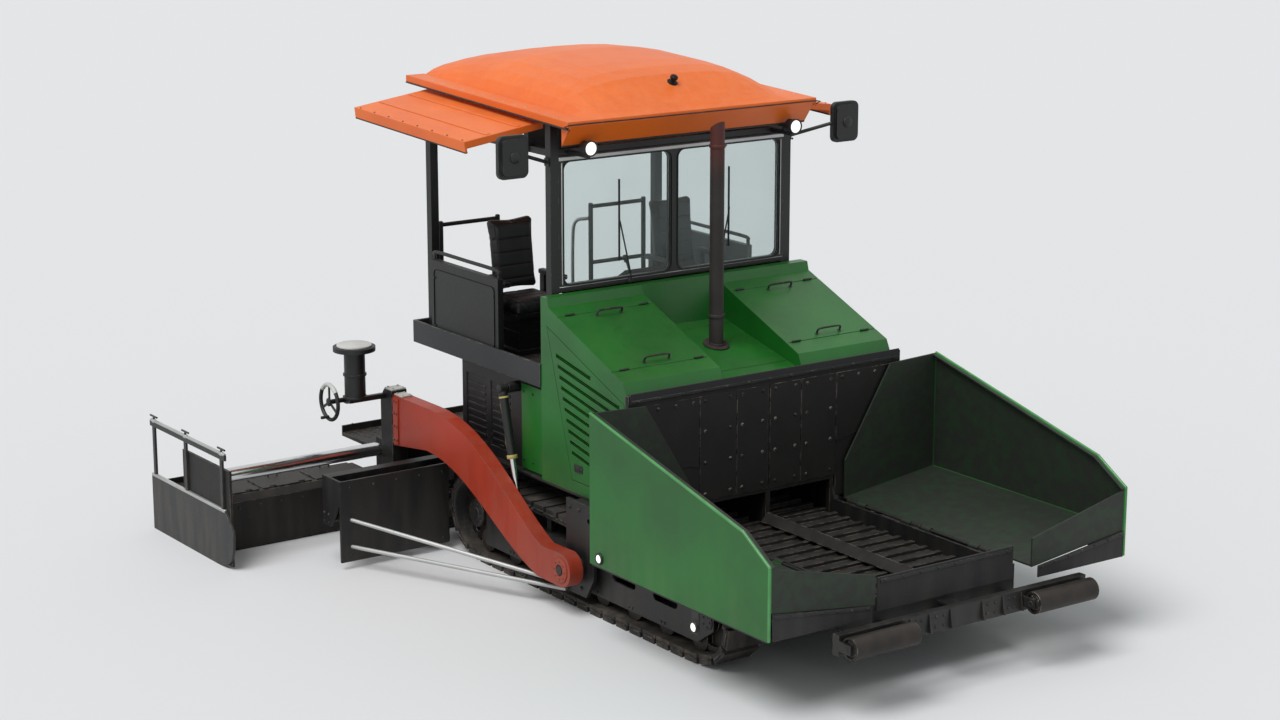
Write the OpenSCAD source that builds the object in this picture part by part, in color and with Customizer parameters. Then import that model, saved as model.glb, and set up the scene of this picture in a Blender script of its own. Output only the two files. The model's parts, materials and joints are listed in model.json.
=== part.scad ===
// Tracked asphalt paver with an extending screed, in millimetres.
// +X is forward, +Y is left, +Z is up, and the ground is at Z = 0.
// Places along X are measured from the middle of the tracks.

/* [Layout] */
// Gap between faces of two bodies that slide or turn close together
run_gap = 5; // [5:1:8]
// Radial gap between a pin and its eye
pin_gap = 0.3; // [0.3:0.1:0.5]
// Gap between curved faces that seat on each other
seat_gap = 0.3; // [0.3:0.1:0.5]

/* [Tracks] */
// Distance between the middles of the two tracks
track_gauge = 2230; // [2200:10:2260]
// Width of a track shoe
shoe_w = 305; // [280:5:310]
// Number of shoes on one track
shoe_count = 46; // [42:1:50]
// Gap between two shoes
shoe_gap = 34; // [20:2:40]
// Thickness of the track chain band
belt_t = 30; // [24:1:34]
// Thickness of the rubber pad on a shoe
pad_t = 45; // [35:1:50]
// Radius of the road rollers
roller_r = 90; // [80:2:95]
// Number of road rollers on one side
roller_count = 8; // [6:1:8]
// Distance from the first to the last road roller
roller_span = 2830; // [2700:10:2850]
// Radius of the front idler
idler_r = 230; // [215:5:235]
// Place of the idler ahead of the track middle
idler_x = 1545; // [1530:5:1560]
// Height of the idler axle
idler_z = 335; // [325:5:345]
// Radius of the drive sprocket
sprocket_r = 255; // [240:5:260]
// Number of teeth on the drive sprocket
sprocket_teeth = 15; // [13:1:17]
// Place of the sprocket behind the track middle
sprocket_x = -1545; // [-1560:5:-1530]
// Height of the sprocket axle
sprocket_z = 365; // [355:5:375]
// Radius of the upper carrier rollers
carrier_r = 50; // [40:2:56]

/* [Main frame] */
// Half of the frame's outer width
frame_half_w = 650; // [640:5:660]
// Thickness of the frame's side plates
frame_t = 20; // [16:1:24]
// Rear end of the frame
frame_rear_x = -1850; // [-1870:5:-1840]
// Front end of the frame
frame_front_x = 2600; // [2580:5:2610]
// Height of the frame's top over the conveyor tunnel
frame_top_z = 880; // [860:5:900]
// Height of the side plates beside the hopper floor
hopper_sill_z = 700; // [690:2:706]

/* [Conveyors] */
// Width of one conveyor
conveyor_w = 550; // [520:5:560]
// Height of the conveyor shafts
conveyor_z = 500; // [495:1:505]
// Radius of the conveyor sprockets
pulley_r = 78; // [72:1:80]
// Thickness of the conveyor chain
chain_t = 20; // [16:1:22]
// Height of a slat above the chain
slat_t = 26; // [20:1:30]
// Number of slats on one conveyor
slat_count = 60; // [48:2:66]

/* [Hopper] */
// Half of the hopper's width over both side walls
hopper_half_w = 1632; // [1600:4:1640]
// Thickness of the hopper's plates
wing_t = 14; // [10:1:16]
// Place of the bulkhead behind the hopper
bulkhead_x = 600; // [590:5:605]
// Thickness of the bulkhead
bulkhead_t = 40; // [30:2:44]
// Height of the bulkhead
bulkhead_top_z = 1780; // [1760:5:1800]
// Sideways place of the wing hinges
hinge_y = 690; // [686:2:700]
// Height of the wing hinges
hinge_z = 700; // [690:5:710]
// Outer radius of a wing hinge knuckle
knuckle_r = 22; // [18:1:24]

/* [Push rollers] */
// Radius of a push roller
push_roller_r = 80; // [70:2:86]
// Length of a push roller
push_roller_l = 560; // [500:10:580]
// Half of the push beam's length
push_beam_half_l = 1130; // [1120:5:1140]

/* [Hood] */
// How far a track stands out past the hood
track_overhang = 27.5; // [20:0.5:35]
// Thickness of the hood's skin
hood_t = 12; // [8:1:14]
// Height of the ledge below the windscreen
hood_ledge_z = 2300; // [2280:5:2320]
// Number of louvres in a side door
louvre_count = 10; // [8:1:11]
// Fall of the louvres towards the front
louvre_slope = 11; // [6:1:13]
// Outer radius of the exhaust stack
stack_r = 55; // [45:1:60]
// Height of the stack's top
stack_top_z = 3600; // [3500:10:3640]

/* [Platform] */
// How far the platform stands out past the hood
deck_overhang = 10; // [5:1:15]
// Height of the platform's underside
deck_z = 1600; // [1590:5:1610]
// Thickness of the platform's floor
deck_t = 40; // [30:2:46]
// Rear end of the platform
deck_rear_x = -2440; // [-2450:5:-2430]
// Sideways place of the seats
seat_y = 780; // [760:10:800]

/* [Canopy] */
// Half of the roof's width
roof_half_w = 1160; // [1155:5:1180]
// Height of the roof's front edge
roof_edge_z = 3635; // [3620:5:3650]
// Rise of the roof's crown above its side edges
roof_crown = 260; // [230:10:280]
// Rise of the roof and the awnings towards the rear
canopy_pitch = 2.5; // [2:0.1:3]
// Depth of the roof's side lips
roof_lip = 55; // [40:5:60]
// Front end of the roof
roof_front_x = -290; // [-310:5:-280]
// Rear end of the roof
roof_rear_x = -2630; // [-2640:5:-2620]
// Width of a canopy post
post_w = 70; // [60:2:74]
// Sideways place of the canopy posts
post_y = 1100; // [1095:5:1105]
// Thickness of an awning panel
awning_t = 24; // [16:1:26]
// Slope of the awnings
awning_slope = 8; // [7:0.5:9]
// Depth of an awning's outer lip
awning_lip = 60; // [40:5:64]
// Radius of a work light
lamp_r = 52; // [44:2:60]

/* [Screed] */
// How far the basic screed stands out past a tow arm
screed_overhang = 10; // [0:1:20]
// Distance that each extension stands out
extension_out = 1450; // [1440:5:1455]
// Width of one screed extension
extension_w = 1500; // [1480:5:1500]
// Radius of an extension's guide tube
guide_r = 55; // [45:1:58]
// Height of the guide tubes
guide_z = 700; // [690:5:710]
// Rear end of the screed's walkways and end gates
walk_rear_x = -3750; // [-3800:10:-3700]
// Room for a lift cylinder between the hood and a tow arm
lift_room = 130; // [128:1:135]
// Width of a tow arm
arm_w = 120; // [100:2:124]
// Radius of the tow point pivot pin
tow_pin_r = 35; // [28:1:40]

/* [Augers] */
// Radius of the auger flights
auger_r = 185; // [170:5:190]
// Radius of the auger shaft
auger_shaft_r = 45; // [36:1:50]
// Turns of the flight on one auger
auger_turns = 6; // [4:1:8]
// Height of the auger shaft
auger_z = 380; // [370:5:400]
// Outer end of each auger
auger_out_y = 2240; // [2200:10:2260]

/* [Tie-down eyes] */
// Radius of the hole in a tie-down eye
eye_bore_r = 22; // [18:1:24]
// Thickness of a tie-down eye
eye_t = 30; // [24:1:34]

/* [Hidden] */
$fn = 48;

// Colours of the finishes
green = "#2f7d3c";
arm_red = "#b5391f";
roof_orange = "#d9682c";
black = "#24262a";
steel = "#55585c";
pale_steel = "#9a9da0";
rubber = "#1d1d1f";
glass = "#9fb6bd";
lamp_white = "#f4f2ea";

push_roller_x = 2950;
// Distance of the track middle ahead of the machine's middle
track_mid_x = -(push_roller_x + push_roller_r + walk_rear_x) / 2;

// Tracks
track_y = track_gauge / 2;
roller_z = roller_r + seat_gap + belt_t + pad_t;
track_wheels_xzr = [
    [-roller_span / 2, roller_z, roller_r],
    [roller_span / 2, roller_z, roller_r],
    [idler_x, idler_z, idler_r],
    [sprocket_x, sprocket_z, sprocket_r]
];
track_top_z = sprocket_z + sprocket_r + seat_gap + belt_t + pad_t;
track_plate_in = 100;
track_plate_t = 20;
carrier_x = [-520, 520];

// Widths that follow the tracks
hood_half_w = track_gauge / 2 + shoe_w / 2 - track_overhang;
deck_half_w = hood_half_w + deck_overhang;
arm_in_y = hood_half_w + lift_room;
screed_half_w = arm_in_y + arm_w + screed_overhang;
bulkhead_half_w = hood_half_w + 35;
bulkhead_low_z = 720;

// Main frame
frame_in_w = frame_half_w - frame_t;
floor_z = 560;
floor_t = 18;
fender_t = 20;
fender_front_x = bulkhead_x - 2;
// Lashing holes: (along X, height) of those in the front eyes and of those in the tow brackets
front_lash = [frame_front_x + 76, 470];
side_lash = [190, 740];

// Conveyors
conveyor_in_y = 35;
conveyor_front_x = frame_front_x - 160;
conveyor_rear_x = frame_rear_x + 140;
conveyor_wheels = [
    [conveyor_rear_x, conveyor_z, pulley_r],
    [conveyor_front_x, conveyor_z, pulley_r]
];
slat_top_z = conveyor_z + pulley_r + seat_gap + chain_t + slat_t;

// Hopper wings
wing_rear_x = bulkhead_x + bulkhead_t + 25;
wing_front_x = 2744;
wing_floor_in_y = hinge_y + 28;
wing_floor_out_z = hinge_z + 115;
wing_side_outline = [
    [wing_rear_x, 608], [wing_front_x, 608], [wing_front_x, 1120], [2454, 1294], [wing_rear_x, 1717]
];
wing_pin_r = 12;
wing_rib_x = [900, 1450, 1900, 2500];
wing_rib_h = 34;
// Start and end of each knuckle along X, first those on the frame and then those on a wing
frame_knuckles = [[760, 860], [1500, 1600], [2240, 2340]];
wing_knuckles = [[870, 970], [1390, 1490], [1610, 1710], [2130, 2230], [2350, 2450]];

// Wing cylinders: plane along X, then (sideways, height) of the foot pin and of the rod pin
wing_ram_x = 2040;
wing_ram_foot = [720, 430];
wing_ram_head = [1300, 695];

// Push beam
push_pin_x = 2750;
push_beam_x = [2800, 2864];
push_beam_z = [440, 590];
push_roller_z = 515;
push_pin_r = 20;

// Hood
hood_rear_x = -560;
hood_front_x = bulkhead_x - 2;
valley_half_w = 370;
cover_seam_x = [-330, 380];
nose_outline = [
    [hood_rear_x, frame_top_z], [hood_front_x, frame_top_z], [hood_front_x, 1690], [520, 1850],
    [-450, 2230], [-470, hood_ledge_z], [hood_rear_x, hood_ledge_z]
];
valley_outline = [
    [hood_rear_x, frame_top_z], [hood_front_x, frame_top_z], [hood_front_x, 1640], [520, 1740],
    [-430, 1960], [-470, hood_ledge_z], [hood_rear_x, hood_ledge_z]
];
door_outline = [[-150, 970], [540, 970], [540, 1690], [-480, 2090]];
door_t = 14;
door_hinge_x = 553;
door_hinge_y = hood_half_w + 10;
// Low end of each door hinge, which has a knuckle on the door between two on the hood
door_hinge_z = [1040, 1540];
door_knuckle_h = 40;
louvre_pitch = 78;
louvre_low_z = 1170;
louvre_h = 34;
// Place of the door's rear edge at height z
function door_rear_x(z) =
    let (low = door_outline[0], high = door_outline[3])
    low[0] + (z - low[1]) / (high[1] - low[1]) * (high[0] - low[0]);
// Where a line that falls with the louvres from (x, z) meets the door's top edge
function louvre_limit_x(z, x) =
    let (a = door_outline[3], b = door_outline[2], fall = (a[1] - b[1]) / (b[0] - a[0]))
    (a[1] + fall * a[0] - z - x * tan(louvre_slope)) / (fall - tan(louvre_slope));
stack_x = -20;

// Platform and what stands on it
floor_top_z = deck_z + deck_t;
fascia_t = 20;
fascia_top_z = 1780;
rear_body_x = [-1800, hood_rear_x - 2];
rear_body_half_w = hood_half_w - 60;

// Canopy
front_post_x = [hood_rear_x - 80, hood_rear_x - 80 + post_w];
rear_post_x = [deck_rear_x + 55, deck_rear_x + 55 + post_w];
beam_z = [roof_edge_z - 295, roof_edge_z - 245];
roof_shell_t = 24;
roof_lip_t = 20;
header_low_z = roof_edge_z - 195;
header_lean = 120;
awning_x = [roof_rear_x + 200, roof_front_x - 510];
awning_in_y = roof_half_w - 130;
awning_out_y = roof_half_w + 575;
awning_end_lip = 30;
awning_skin = 16;
awning_under_z = roof_edge_z - 100;
awning_rail_x = [rear_post_x[0], awning_x[1] - 130];
awning_rail_w = 60;
awning_rail_in_y = 480;
lamp_y = roof_half_w - 200;
lamp_z = header_low_z - 15;
lamp_x = [roof_front_x - 80, roof_front_x + 5];
mirror_place = [roof_front_x - 130, roof_half_w + 400, beam_z[1] + 10];
mirror_half_w = 130;
mirror_half_h = 160;

// Seats
seat_x = [-1700, -1250];
seat_pan_z = floor_top_z + 350;
seat_cushion_t = 110;
seat_half_w = 230;
seat_back_h = 600;

// Screed
tow_pin_x = 60;
tow_pin_z = 365;
arm_rear_x = -2380;
base_front_x = -2330;
base_rear_x = -2760;
ext_front_x = base_rear_x - 30;
ext_rear_x = -3190;
base_walk_rear_x = walk_rear_x + 150;
cover_pitch = 340;
// Side (+1 left, -1 right) and place along X of each extension's guide tube
guide_tubes = [[1, -2450], [-1, -2610]];
ext_in_y = extension_out + 5;
ext_out_y = ext_in_y + extension_w;
end_plate_t = 20;
gate_in_y = ext_out_y + end_plate_t + seat_gap;
gate_t = 20;
gate_front_x = -2290;
gate_rail_z = [880, 925];
gate_post_x = [walk_rear_x + 60, -3105, gate_front_x - 175];

// Stands beside the tow arms, each with a cap, and the hand wheels on them
stand_place = [-2510, 1760];
stand_low_z = 1190;
stand_h = 390;
stand_cap_r = 165;
wheel_place = [-2690, 1900, 1135];
wheel_r = 160;

// Screed lift cylinders: (along X, height) of the top pin and of the pin on the arm
lift_top = [-970, 1520];
lift_foot = [-750, 640];
lift_y = arm_in_y - 42;
lift_pin_r = 20;

// Augers
auger_x = -2080;
auger_in_y = 70;
channel_x = [frame_rear_x - 22, frame_rear_x - 2];
channel_in_y = track_y + shoe_w / 2 + 25;
strut_r = 16;

// Point and outline helpers

function wrap(a) = a - 360 * floor(a / 360);

// Angle of the outward normal of the straight run from wheel a to wheel b
function tangent_angle(a, b) =
    let (dx = b[0] - a[0], dz = b[1] - a[1])
    atan2(dz, dx) - acos((a[2] - b[2]) / norm([dx, dz]));

function loop_in(w, i) = tangent_angle(w[(i + len(w) - 1) % len(w)], w[i]);
function loop_out(w, i) = tangent_angle(w[i], w[(i + 1) % len(w)]);
function loop_sweep(w, i) = wrap(loop_out(w, i) - loop_in(w, i));
function loop_arc(w, i, off) = (w[i][2] + off) * loop_sweep(w, i) * PI / 180;
function loop_run(w, i) =
    let (a = w[i], b = w[(i + 1) % len(w)], d = norm([b[0] - a[0], b[1] - a[1]]))
    sqrt(d * d - pow(a[2] - b[2], 2));
function loop_length(w, off, i = 0) =
    i == len(w) ? 0 : loop_arc(w, i, off) + loop_run(w, i) + loop_length(w, off, i + 1);

// Point at distance s along a loop that lies off outside its wheels, moved out by rise
function loop_point(w, s, off, rise, i = 0) =
    let (arc = loop_arc(w, i, off), run = loop_run(w, i), r = w[i][2] + off + rise)
    s <= arc ? let (a = loop_in(w, i) + s / (w[i][2] + off) * 180 / PI)
        [w[i][0] + r * cos(a), w[i][1] + r * sin(a)]
    : s <= arc + run || i == len(w) - 1 ? let (a = loop_out(w, i), t = s - arc)
        [w[i][0] + r * cos(a) - t * sin(a), w[i][1] + r * sin(a) + t * cos(a)]
    : loop_point(w, s - arc - run, off, rise, i + 1);

// Outline of a loop with a bar of the given rise on each pitch, gap apart from the next
function barred_outline(w, count, off, rise, gap) =
    let (pitch = loop_length(w, off) / count)
    let (bar = [[gap / 2, 0], [gap / 2, rise], [pitch - gap / 2, rise], [pitch - gap / 2, 0]])
    [for (k = [0:count - 1], p = bar) loop_point(w, k * pitch + p[0], off, p[1])];

// Inside of a loop, outside its wheels by at least off
function ring_outline(w, off, step = 10) =
    [for (i = [0:len(w) - 1])
        let (sweep = loop_sweep(w, i), n = ceil(sweep / step), r = (w[i][2] + off) / cos(sweep / n / 2))
        for (k = [0:n]) let (a = loop_in(w, i) + sweep * k / n)
            [w[i][0] + r * cos(a), w[i][1] + r * sin(a)]];

function edge_normal(a, b) = let (d = b - a) [d[1], -d[0]] / norm(d);

// Anticlockwise outline moved inwards by t, with mitred corners
function inset(pts, t) =
    let (n = len(pts))
    [for (i = [0:n - 1])
        let (n1 = edge_normal(pts[(i + n - 1) % n], pts[i]), n2 = edge_normal(pts[i], pts[(i + 1) % n]))
        pts[i] - t * (n1 + n2) / (1 + n1 * n2)];

function cubic(p, t) =
    p[0] * pow(1 - t, 3) + p[1] * 3 * t * pow(1 - t, 2) + p[2] * 3 * t * t * (1 - t) + p[3] * pow(t, 3);
function cubic_line(p, n) = [for (k = [0:n]) cubic(p, k / n)];

// Shape helpers

module machine() {
    translate([track_mid_x, 0, 0]) children();
}

module both_sides() {
    children();
    mirror([0, 1, 0]) children();
}

// Puts what is drawn for the left side on the left (+1) or on the right (-1)
module on_side(side) {
    if (side > 0) children();
    else mirror([0, 1, 0]) children();
}

module box(x, y, z) {
    translate([x[0], y[0], z[0]]) cube([x[1] - x[0], y[1] - y[0], z[1] - z[0]]);
}

// Outline in (x, z), between two places along Y
module side_plate(points, y) {
    translate([0, y[1], 0]) rotate([90, 0, 0]) linear_extrude(y[1] - y[0]) polygon(points);
}

// Outline in (y, z), between two places along X
module cross_plate(points, x) {
    translate([x[0], 0, 0]) rotate([90, 0, 90]) linear_extrude(x[1] - x[0]) polygon(points);
}

// Round bar along Y through (x, z)
module bar_y(x, z, y, r) {
    translate([x, y[0], z]) rotate([-90, 0, 0]) cylinder(h = y[1] - y[0], r = r);
}

// Round bar along X through (y, z)
module bar_x(x, y, z, r) {
    translate([x[0], y, z]) rotate([0, 90, 0]) cylinder(h = x[1] - x[0], r = r);
}

// Block whose edges along X are rounded
module soft_block(x, y, z, r) {
    for (cy = [y[0] + r, y[1] - r], cz = [z[0] + r, z[1] - r]) bar_x(x, cy, cz, r);
    box(x, [y[0] + r, y[1] - r], z);
    box(x, y, [z[0] + r, z[1] - r]);
}

module bar(a, b, r) {
    d = b - a;
    translate(a) rotate([0, acos(d[2] / norm(d)), atan2(d[1], d[0])]) cylinder(h = norm(d), r = r);
}

// Cylinder with its pin eye at the origin and its mouth towards +X, with the eye's axis along Y
module ram_barrel(length, r, rod_r, eye_r, bore_r, width) {
    difference() {
        union() {
            translate([0, -width / 2, 0]) rotate([-90, 0, 0]) cylinder(h = width, r = eye_r);
            translate([eye_r - 8, 0, 0]) rotate([0, 90, 0]) cylinder(h = length - eye_r + 8, r = r);
        }
        translate([0, -width, 0]) rotate([-90, 0, 0]) cylinder(h = 2 * width, r = bore_r);
        translate([eye_r + 40, 0, 0]) rotate([0, 90, 0]) cylinder(h = length, r = rod_r + pin_gap + 0.2);
    }
}

// Rod from its inner end to its eye, which stands at reach along +X
module ram_rod(start, reach, rod_r, eye_r, bore_r, width) {
    difference() {
        union() {
            translate([start, 0, 0]) rotate([0, 90, 0]) cylinder(h = reach - start - bore_r - 4, r = rod_r);
            translate([reach, -width / 2, 0]) rotate([-90, 0, 0]) cylinder(h = width, r = eye_r);
        }
        translate([reach, -width, 0]) rotate([-90, 0, 0]) cylinder(h = 2 * width, r = bore_r);
    }
}

// Tracks

module track_loop() {
    translate([0, track_y + shoe_w / 2, 0]) rotate([90, 0, 0]) linear_extrude(shoe_w) difference() {
        polygon(barred_outline(track_wheels_xzr, shoe_count, belt_t + seat_gap, pad_t, shoe_gap));
        polygon(ring_outline(track_wheels_xzr, seat_gap));
    }
}

module track_right() {
    color(rubber) machine() on_side(-1) track_loop();
}

module track_left() {
    color(rubber) machine() on_side(1) track_loop();
}

carrier_z = [for (x = carrier_x)
    let (a = loop_out(track_wheels_xzr, 2), w = track_wheels_xzr[2],
        px = w[0] + w[2] * cos(a), pz = w[1] + w[2] * sin(a))
    pz - (x - px) * cos(a) / sin(a) - carrier_r / sin(a)];

module track_frame() {
    plate = [[-1380, 150], [1430, 150], [1620, 280], [1620, 400], [1180, 470], [-1380, 470]];
    side_plate(plate, [track_y - track_plate_in - track_plate_t, track_y - track_plate_in]);
    // The outer plate has windows for greasing the rollers
    out_y = track_y + track_plate_in;
    difference() {
        side_plate(plate, [out_y, out_y + track_plate_t]);
        for (x = [-1040, -520, 0, 520, 1040]) {
            for (s = [-1, 1]) bar_y(x + s * 110, 360, [out_y - 1, out_y + track_plate_t + 1], 40);
            box([x - 110, x + 110], [out_y - 1, out_y + track_plate_t + 1], [320, 400]);
        }
    }
    box([-1240, 1180], [track_y - track_plate_in, track_y + track_plate_in], [450, 470]);
    for (k = [0:len(carrier_x) - 1], s = [-1, 1])
        box([carrier_x[k] - 30, carrier_x[k] + 30], [track_y + s * 80 - 10, track_y + s * 80 + 10],
            [470, carrier_z[k] + 25]);
    for (x = [-700, 800])
        box([x - 90, x + 90], [frame_half_w, track_y - track_plate_in - track_plate_t], [260, 440]);
}

module track_frames() {
    color(black) machine() both_sides() track_frame();
}

// Wheel with a waist between its two treads
module wheel_with_axle(x, z, r, half_w, axle_r, axle_half_w, tread_w) {
    bar_y(x, z, [track_y - half_w, track_y + half_w], r - 14);
    for (s = [-1, 1]) {
        mid_y = track_y + s * (half_w - tread_w / 2);
        bar_y(x, z, [mid_y - tread_w / 2, mid_y + tread_w / 2], r);
    }
    bar_y(x, z, [track_y - axle_half_w, track_y + axle_half_w], axle_r);
}

module track_wheels() {
    color(steel) machine() both_sides() {
        for (k = [0:roller_count - 1])
            wheel_with_axle(-roller_span / 2 + k * roller_span / (roller_count - 1), roller_z, roller_r,
                85, 28, k == 0 ? 95 : track_plate_in, 48);
        // Idler with a dished web on both sides
        difference() {
            wheel_with_axle(idler_x, idler_z, idler_r, 75, 40, track_plate_in, 46);
            for (s = [-1, 1]) difference() {
                mid_y = track_y + s * 58;
                bar_y(idler_x, idler_z, [mid_y - 18, mid_y + 18], idler_r - 40);
                bar_y(idler_x, idler_z, [mid_y - 19, mid_y + 19], 80);
            }
        }
        for (k = [0:len(carrier_x) - 1])
            wheel_with_axle(carrier_x[k], carrier_z[k], carrier_r, 60, 16, 70, 34);
        difference() {
            union() {
                bar_y(sprocket_x, sprocket_z, [track_y - 40, track_y + 40], sprocket_r);
                bar_y(sprocket_x, sprocket_z, [frame_half_w, track_y - 40], 125);
                bar_y(sprocket_x, sprocket_z, [track_y + 40, track_y + 110], 110);
            }
            for (a = [0:60:300])
                bar_y(sprocket_x + 180 * cos(a), sprocket_z + 180 * sin(a), [track_y - 60, track_y + 60], 30);
            // Gaps between the teeth
            for (k = [0:sprocket_teeth - 1]) let (a = 360 * k / sprocket_teeth, r = sprocket_r + 6)
                bar_y(sprocket_x + r * cos(a), sprocket_z + r * sin(a), [track_y - 60, track_y + 60], 30);
        }
    }
}

// Frame and conveyors

module frame_side() {
    outline = [
        [frame_rear_x, 420], [-1720, 200], [-1400, 200], [-1300, 330], [1200, 330],
        [frame_front_x, 380], [frame_front_x, hopper_sill_z], [bulkhead_x + 60, hopper_sill_z],
        [bulkhead_x, frame_top_z], [frame_rear_x, frame_top_z]
    ];
    side_plate(outline, [frame_in_w, frame_half_w]);
    box([frame_rear_x, fender_front_x], [frame_half_w, hood_half_w], [frame_top_z - fender_t, frame_top_z]);
    for (k = frame_knuckles) {
        bar_x(k, hinge_y, hinge_z, knuckle_r);
        box(k, [frame_half_w, hinge_y], [hinge_z - 30, hinge_z - 6]);
    }
    bar_x([frame_knuckles[0][0], 2460], hinge_y, hinge_z, wing_pin_r);
    // Foot bracket of the wing cylinder
    for (s = [-1, 1])
        box([wing_ram_x + s * 48 - 8, wing_ram_x + s * 48 + 8], [frame_half_w, wing_ram_foot[0] + 30],
            [wing_ram_foot[1] - 35, wing_ram_foot[1] + 35]);
    bar_x([wing_ram_x - 48, wing_ram_x + 48], wing_ram_foot[0], wing_ram_foot[1], 18);
}

module main_frame() {
    color(black) machine() {
        both_sides() frame_side();
        box([conveyor_rear_x, conveyor_front_x - 60], [-frame_in_w, frame_in_w],
            [floor_z, floor_z + floor_t]);
        box([frame_rear_x, fender_front_x], [-frame_in_w, frame_in_w], [frame_top_z - fender_t, frame_top_z]);
        box([conveyor_rear_x, fender_front_x], [-12, 12], [floor_z + floor_t, frame_top_z - fender_t]);
        box([frame_front_x, frame_front_x + 40], [-frame_half_w, frame_half_w], [380, hopper_sill_z]);
        for (x = [-1000, 0, 1000, 2000])
            box([x - 40, x + 40], [-frame_in_w, frame_in_w], [334, 360]);
        // Clevis of the push beam
        for (z = [465, 545])
            box([frame_front_x + 40, push_pin_x + 32], [-60, 60], [z, z + 20]);
        translate([push_pin_x, 0, 465]) cylinder(h = 100, r = push_pin_r);
    }
}

module conveyor_slats() {
    color(steel) machine() both_sides()
        translate([0, conveyor_in_y + conveyor_w, 0]) rotate([90, 0, 0]) linear_extrude(conveyor_w)
            difference() {
                polygon(barred_outline(conveyor_wheels, slat_count, chain_t + seat_gap, slat_t,
                    loop_length(conveyor_wheels, chain_t) / slat_count - 36));
                polygon(ring_outline(conveyor_wheels, seat_gap));
            }
}

module conveyor_ridge() {
    color(black) machine() {
        box([bulkhead_x + bulkhead_t + 20, conveyor_front_x - 60], [-12, 12],
            [floor_z + floor_t, slat_top_z + 24]);
        cross_plate([[-60, slat_top_z + 10], [60, slat_top_z + 10], [0, slat_top_z + 75]],
            [bulkhead_x + bulkhead_t, frame_front_x]);
    }
}

module bulkhead() {
    outline = [
        [frame_half_w, frame_top_z + 1], [frame_half_w, bulkhead_low_z], [bulkhead_half_w, bulkhead_low_z],
        [bulkhead_half_w, bulkhead_top_z], [-bulkhead_half_w, bulkhead_top_z],
        [-bulkhead_half_w, bulkhead_low_z], [-frame_half_w, bulkhead_low_z], [-frame_half_w, frame_top_z + 1],
        [-frame_in_w, frame_top_z + 1], [-frame_in_w, floor_z + floor_t], [frame_in_w, floor_z + floor_t],
        [frame_in_w, frame_top_z + 1]
    ];
    tunnel = [[20, floor_z], [600, floor_z], [600, 860], [20, 860]];
    color(black) machine() difference() {
        cross_plate(outline, [bulkhead_x, bulkhead_x + bulkhead_t]);
        both_sides() cross_plate(tunnel, [bulkhead_x - 10, bulkhead_x + bulkhead_t + 10]);
    }
}

module front_apron() {
    color(rubber) machine()
        box([frame_front_x + 40, frame_front_x + 55], [-620, 620], [600, 840]);
}

module engine_block() {
    color(steel) machine() box([-400, 450], [-420, 420], [frame_top_z, 1500]);
}

module tow_bracket() {
    plate = [[-110, 140], [150, 140], [250, 300], [250, 860], [-110, 860]];
    difference() {
        side_plate(plate, [arm_in_y - 50 - eye_t, arm_in_y - 50]);
        bar_y(side_lash[0], side_lash[1], [arm_in_y - 51 - eye_t, arm_in_y - 49], eye_bore_r);
    }
    box([-20, 140], [frame_half_w, arm_in_y - 50], [780, 860]);
    bar_y(tow_pin_x, tow_pin_z, [arm_in_y - 60, arm_in_y + arm_w + 12], tow_pin_r);
    bar_y(tow_pin_x, tow_pin_z, [arm_in_y - 60, arm_in_y - run_gap], tow_pin_r + 35);
}

module tow_brackets() {
    color(black) machine() both_sides() tow_bracket();
}

module tie_down_eyes() {
    half_h = 45;
    y = [590 - eye_t, 590];
    color(steel) machine() both_sides() difference() {
        box([frame_front_x + 40, front_lash[0] + 40], y, [front_lash[1] - half_h, front_lash[1] + half_h]);
        bar_y(front_lash[0], front_lash[1], [y[0] - 1, y[1] + 1], eye_bore_r);
    }
}

// Hopper wings

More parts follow.
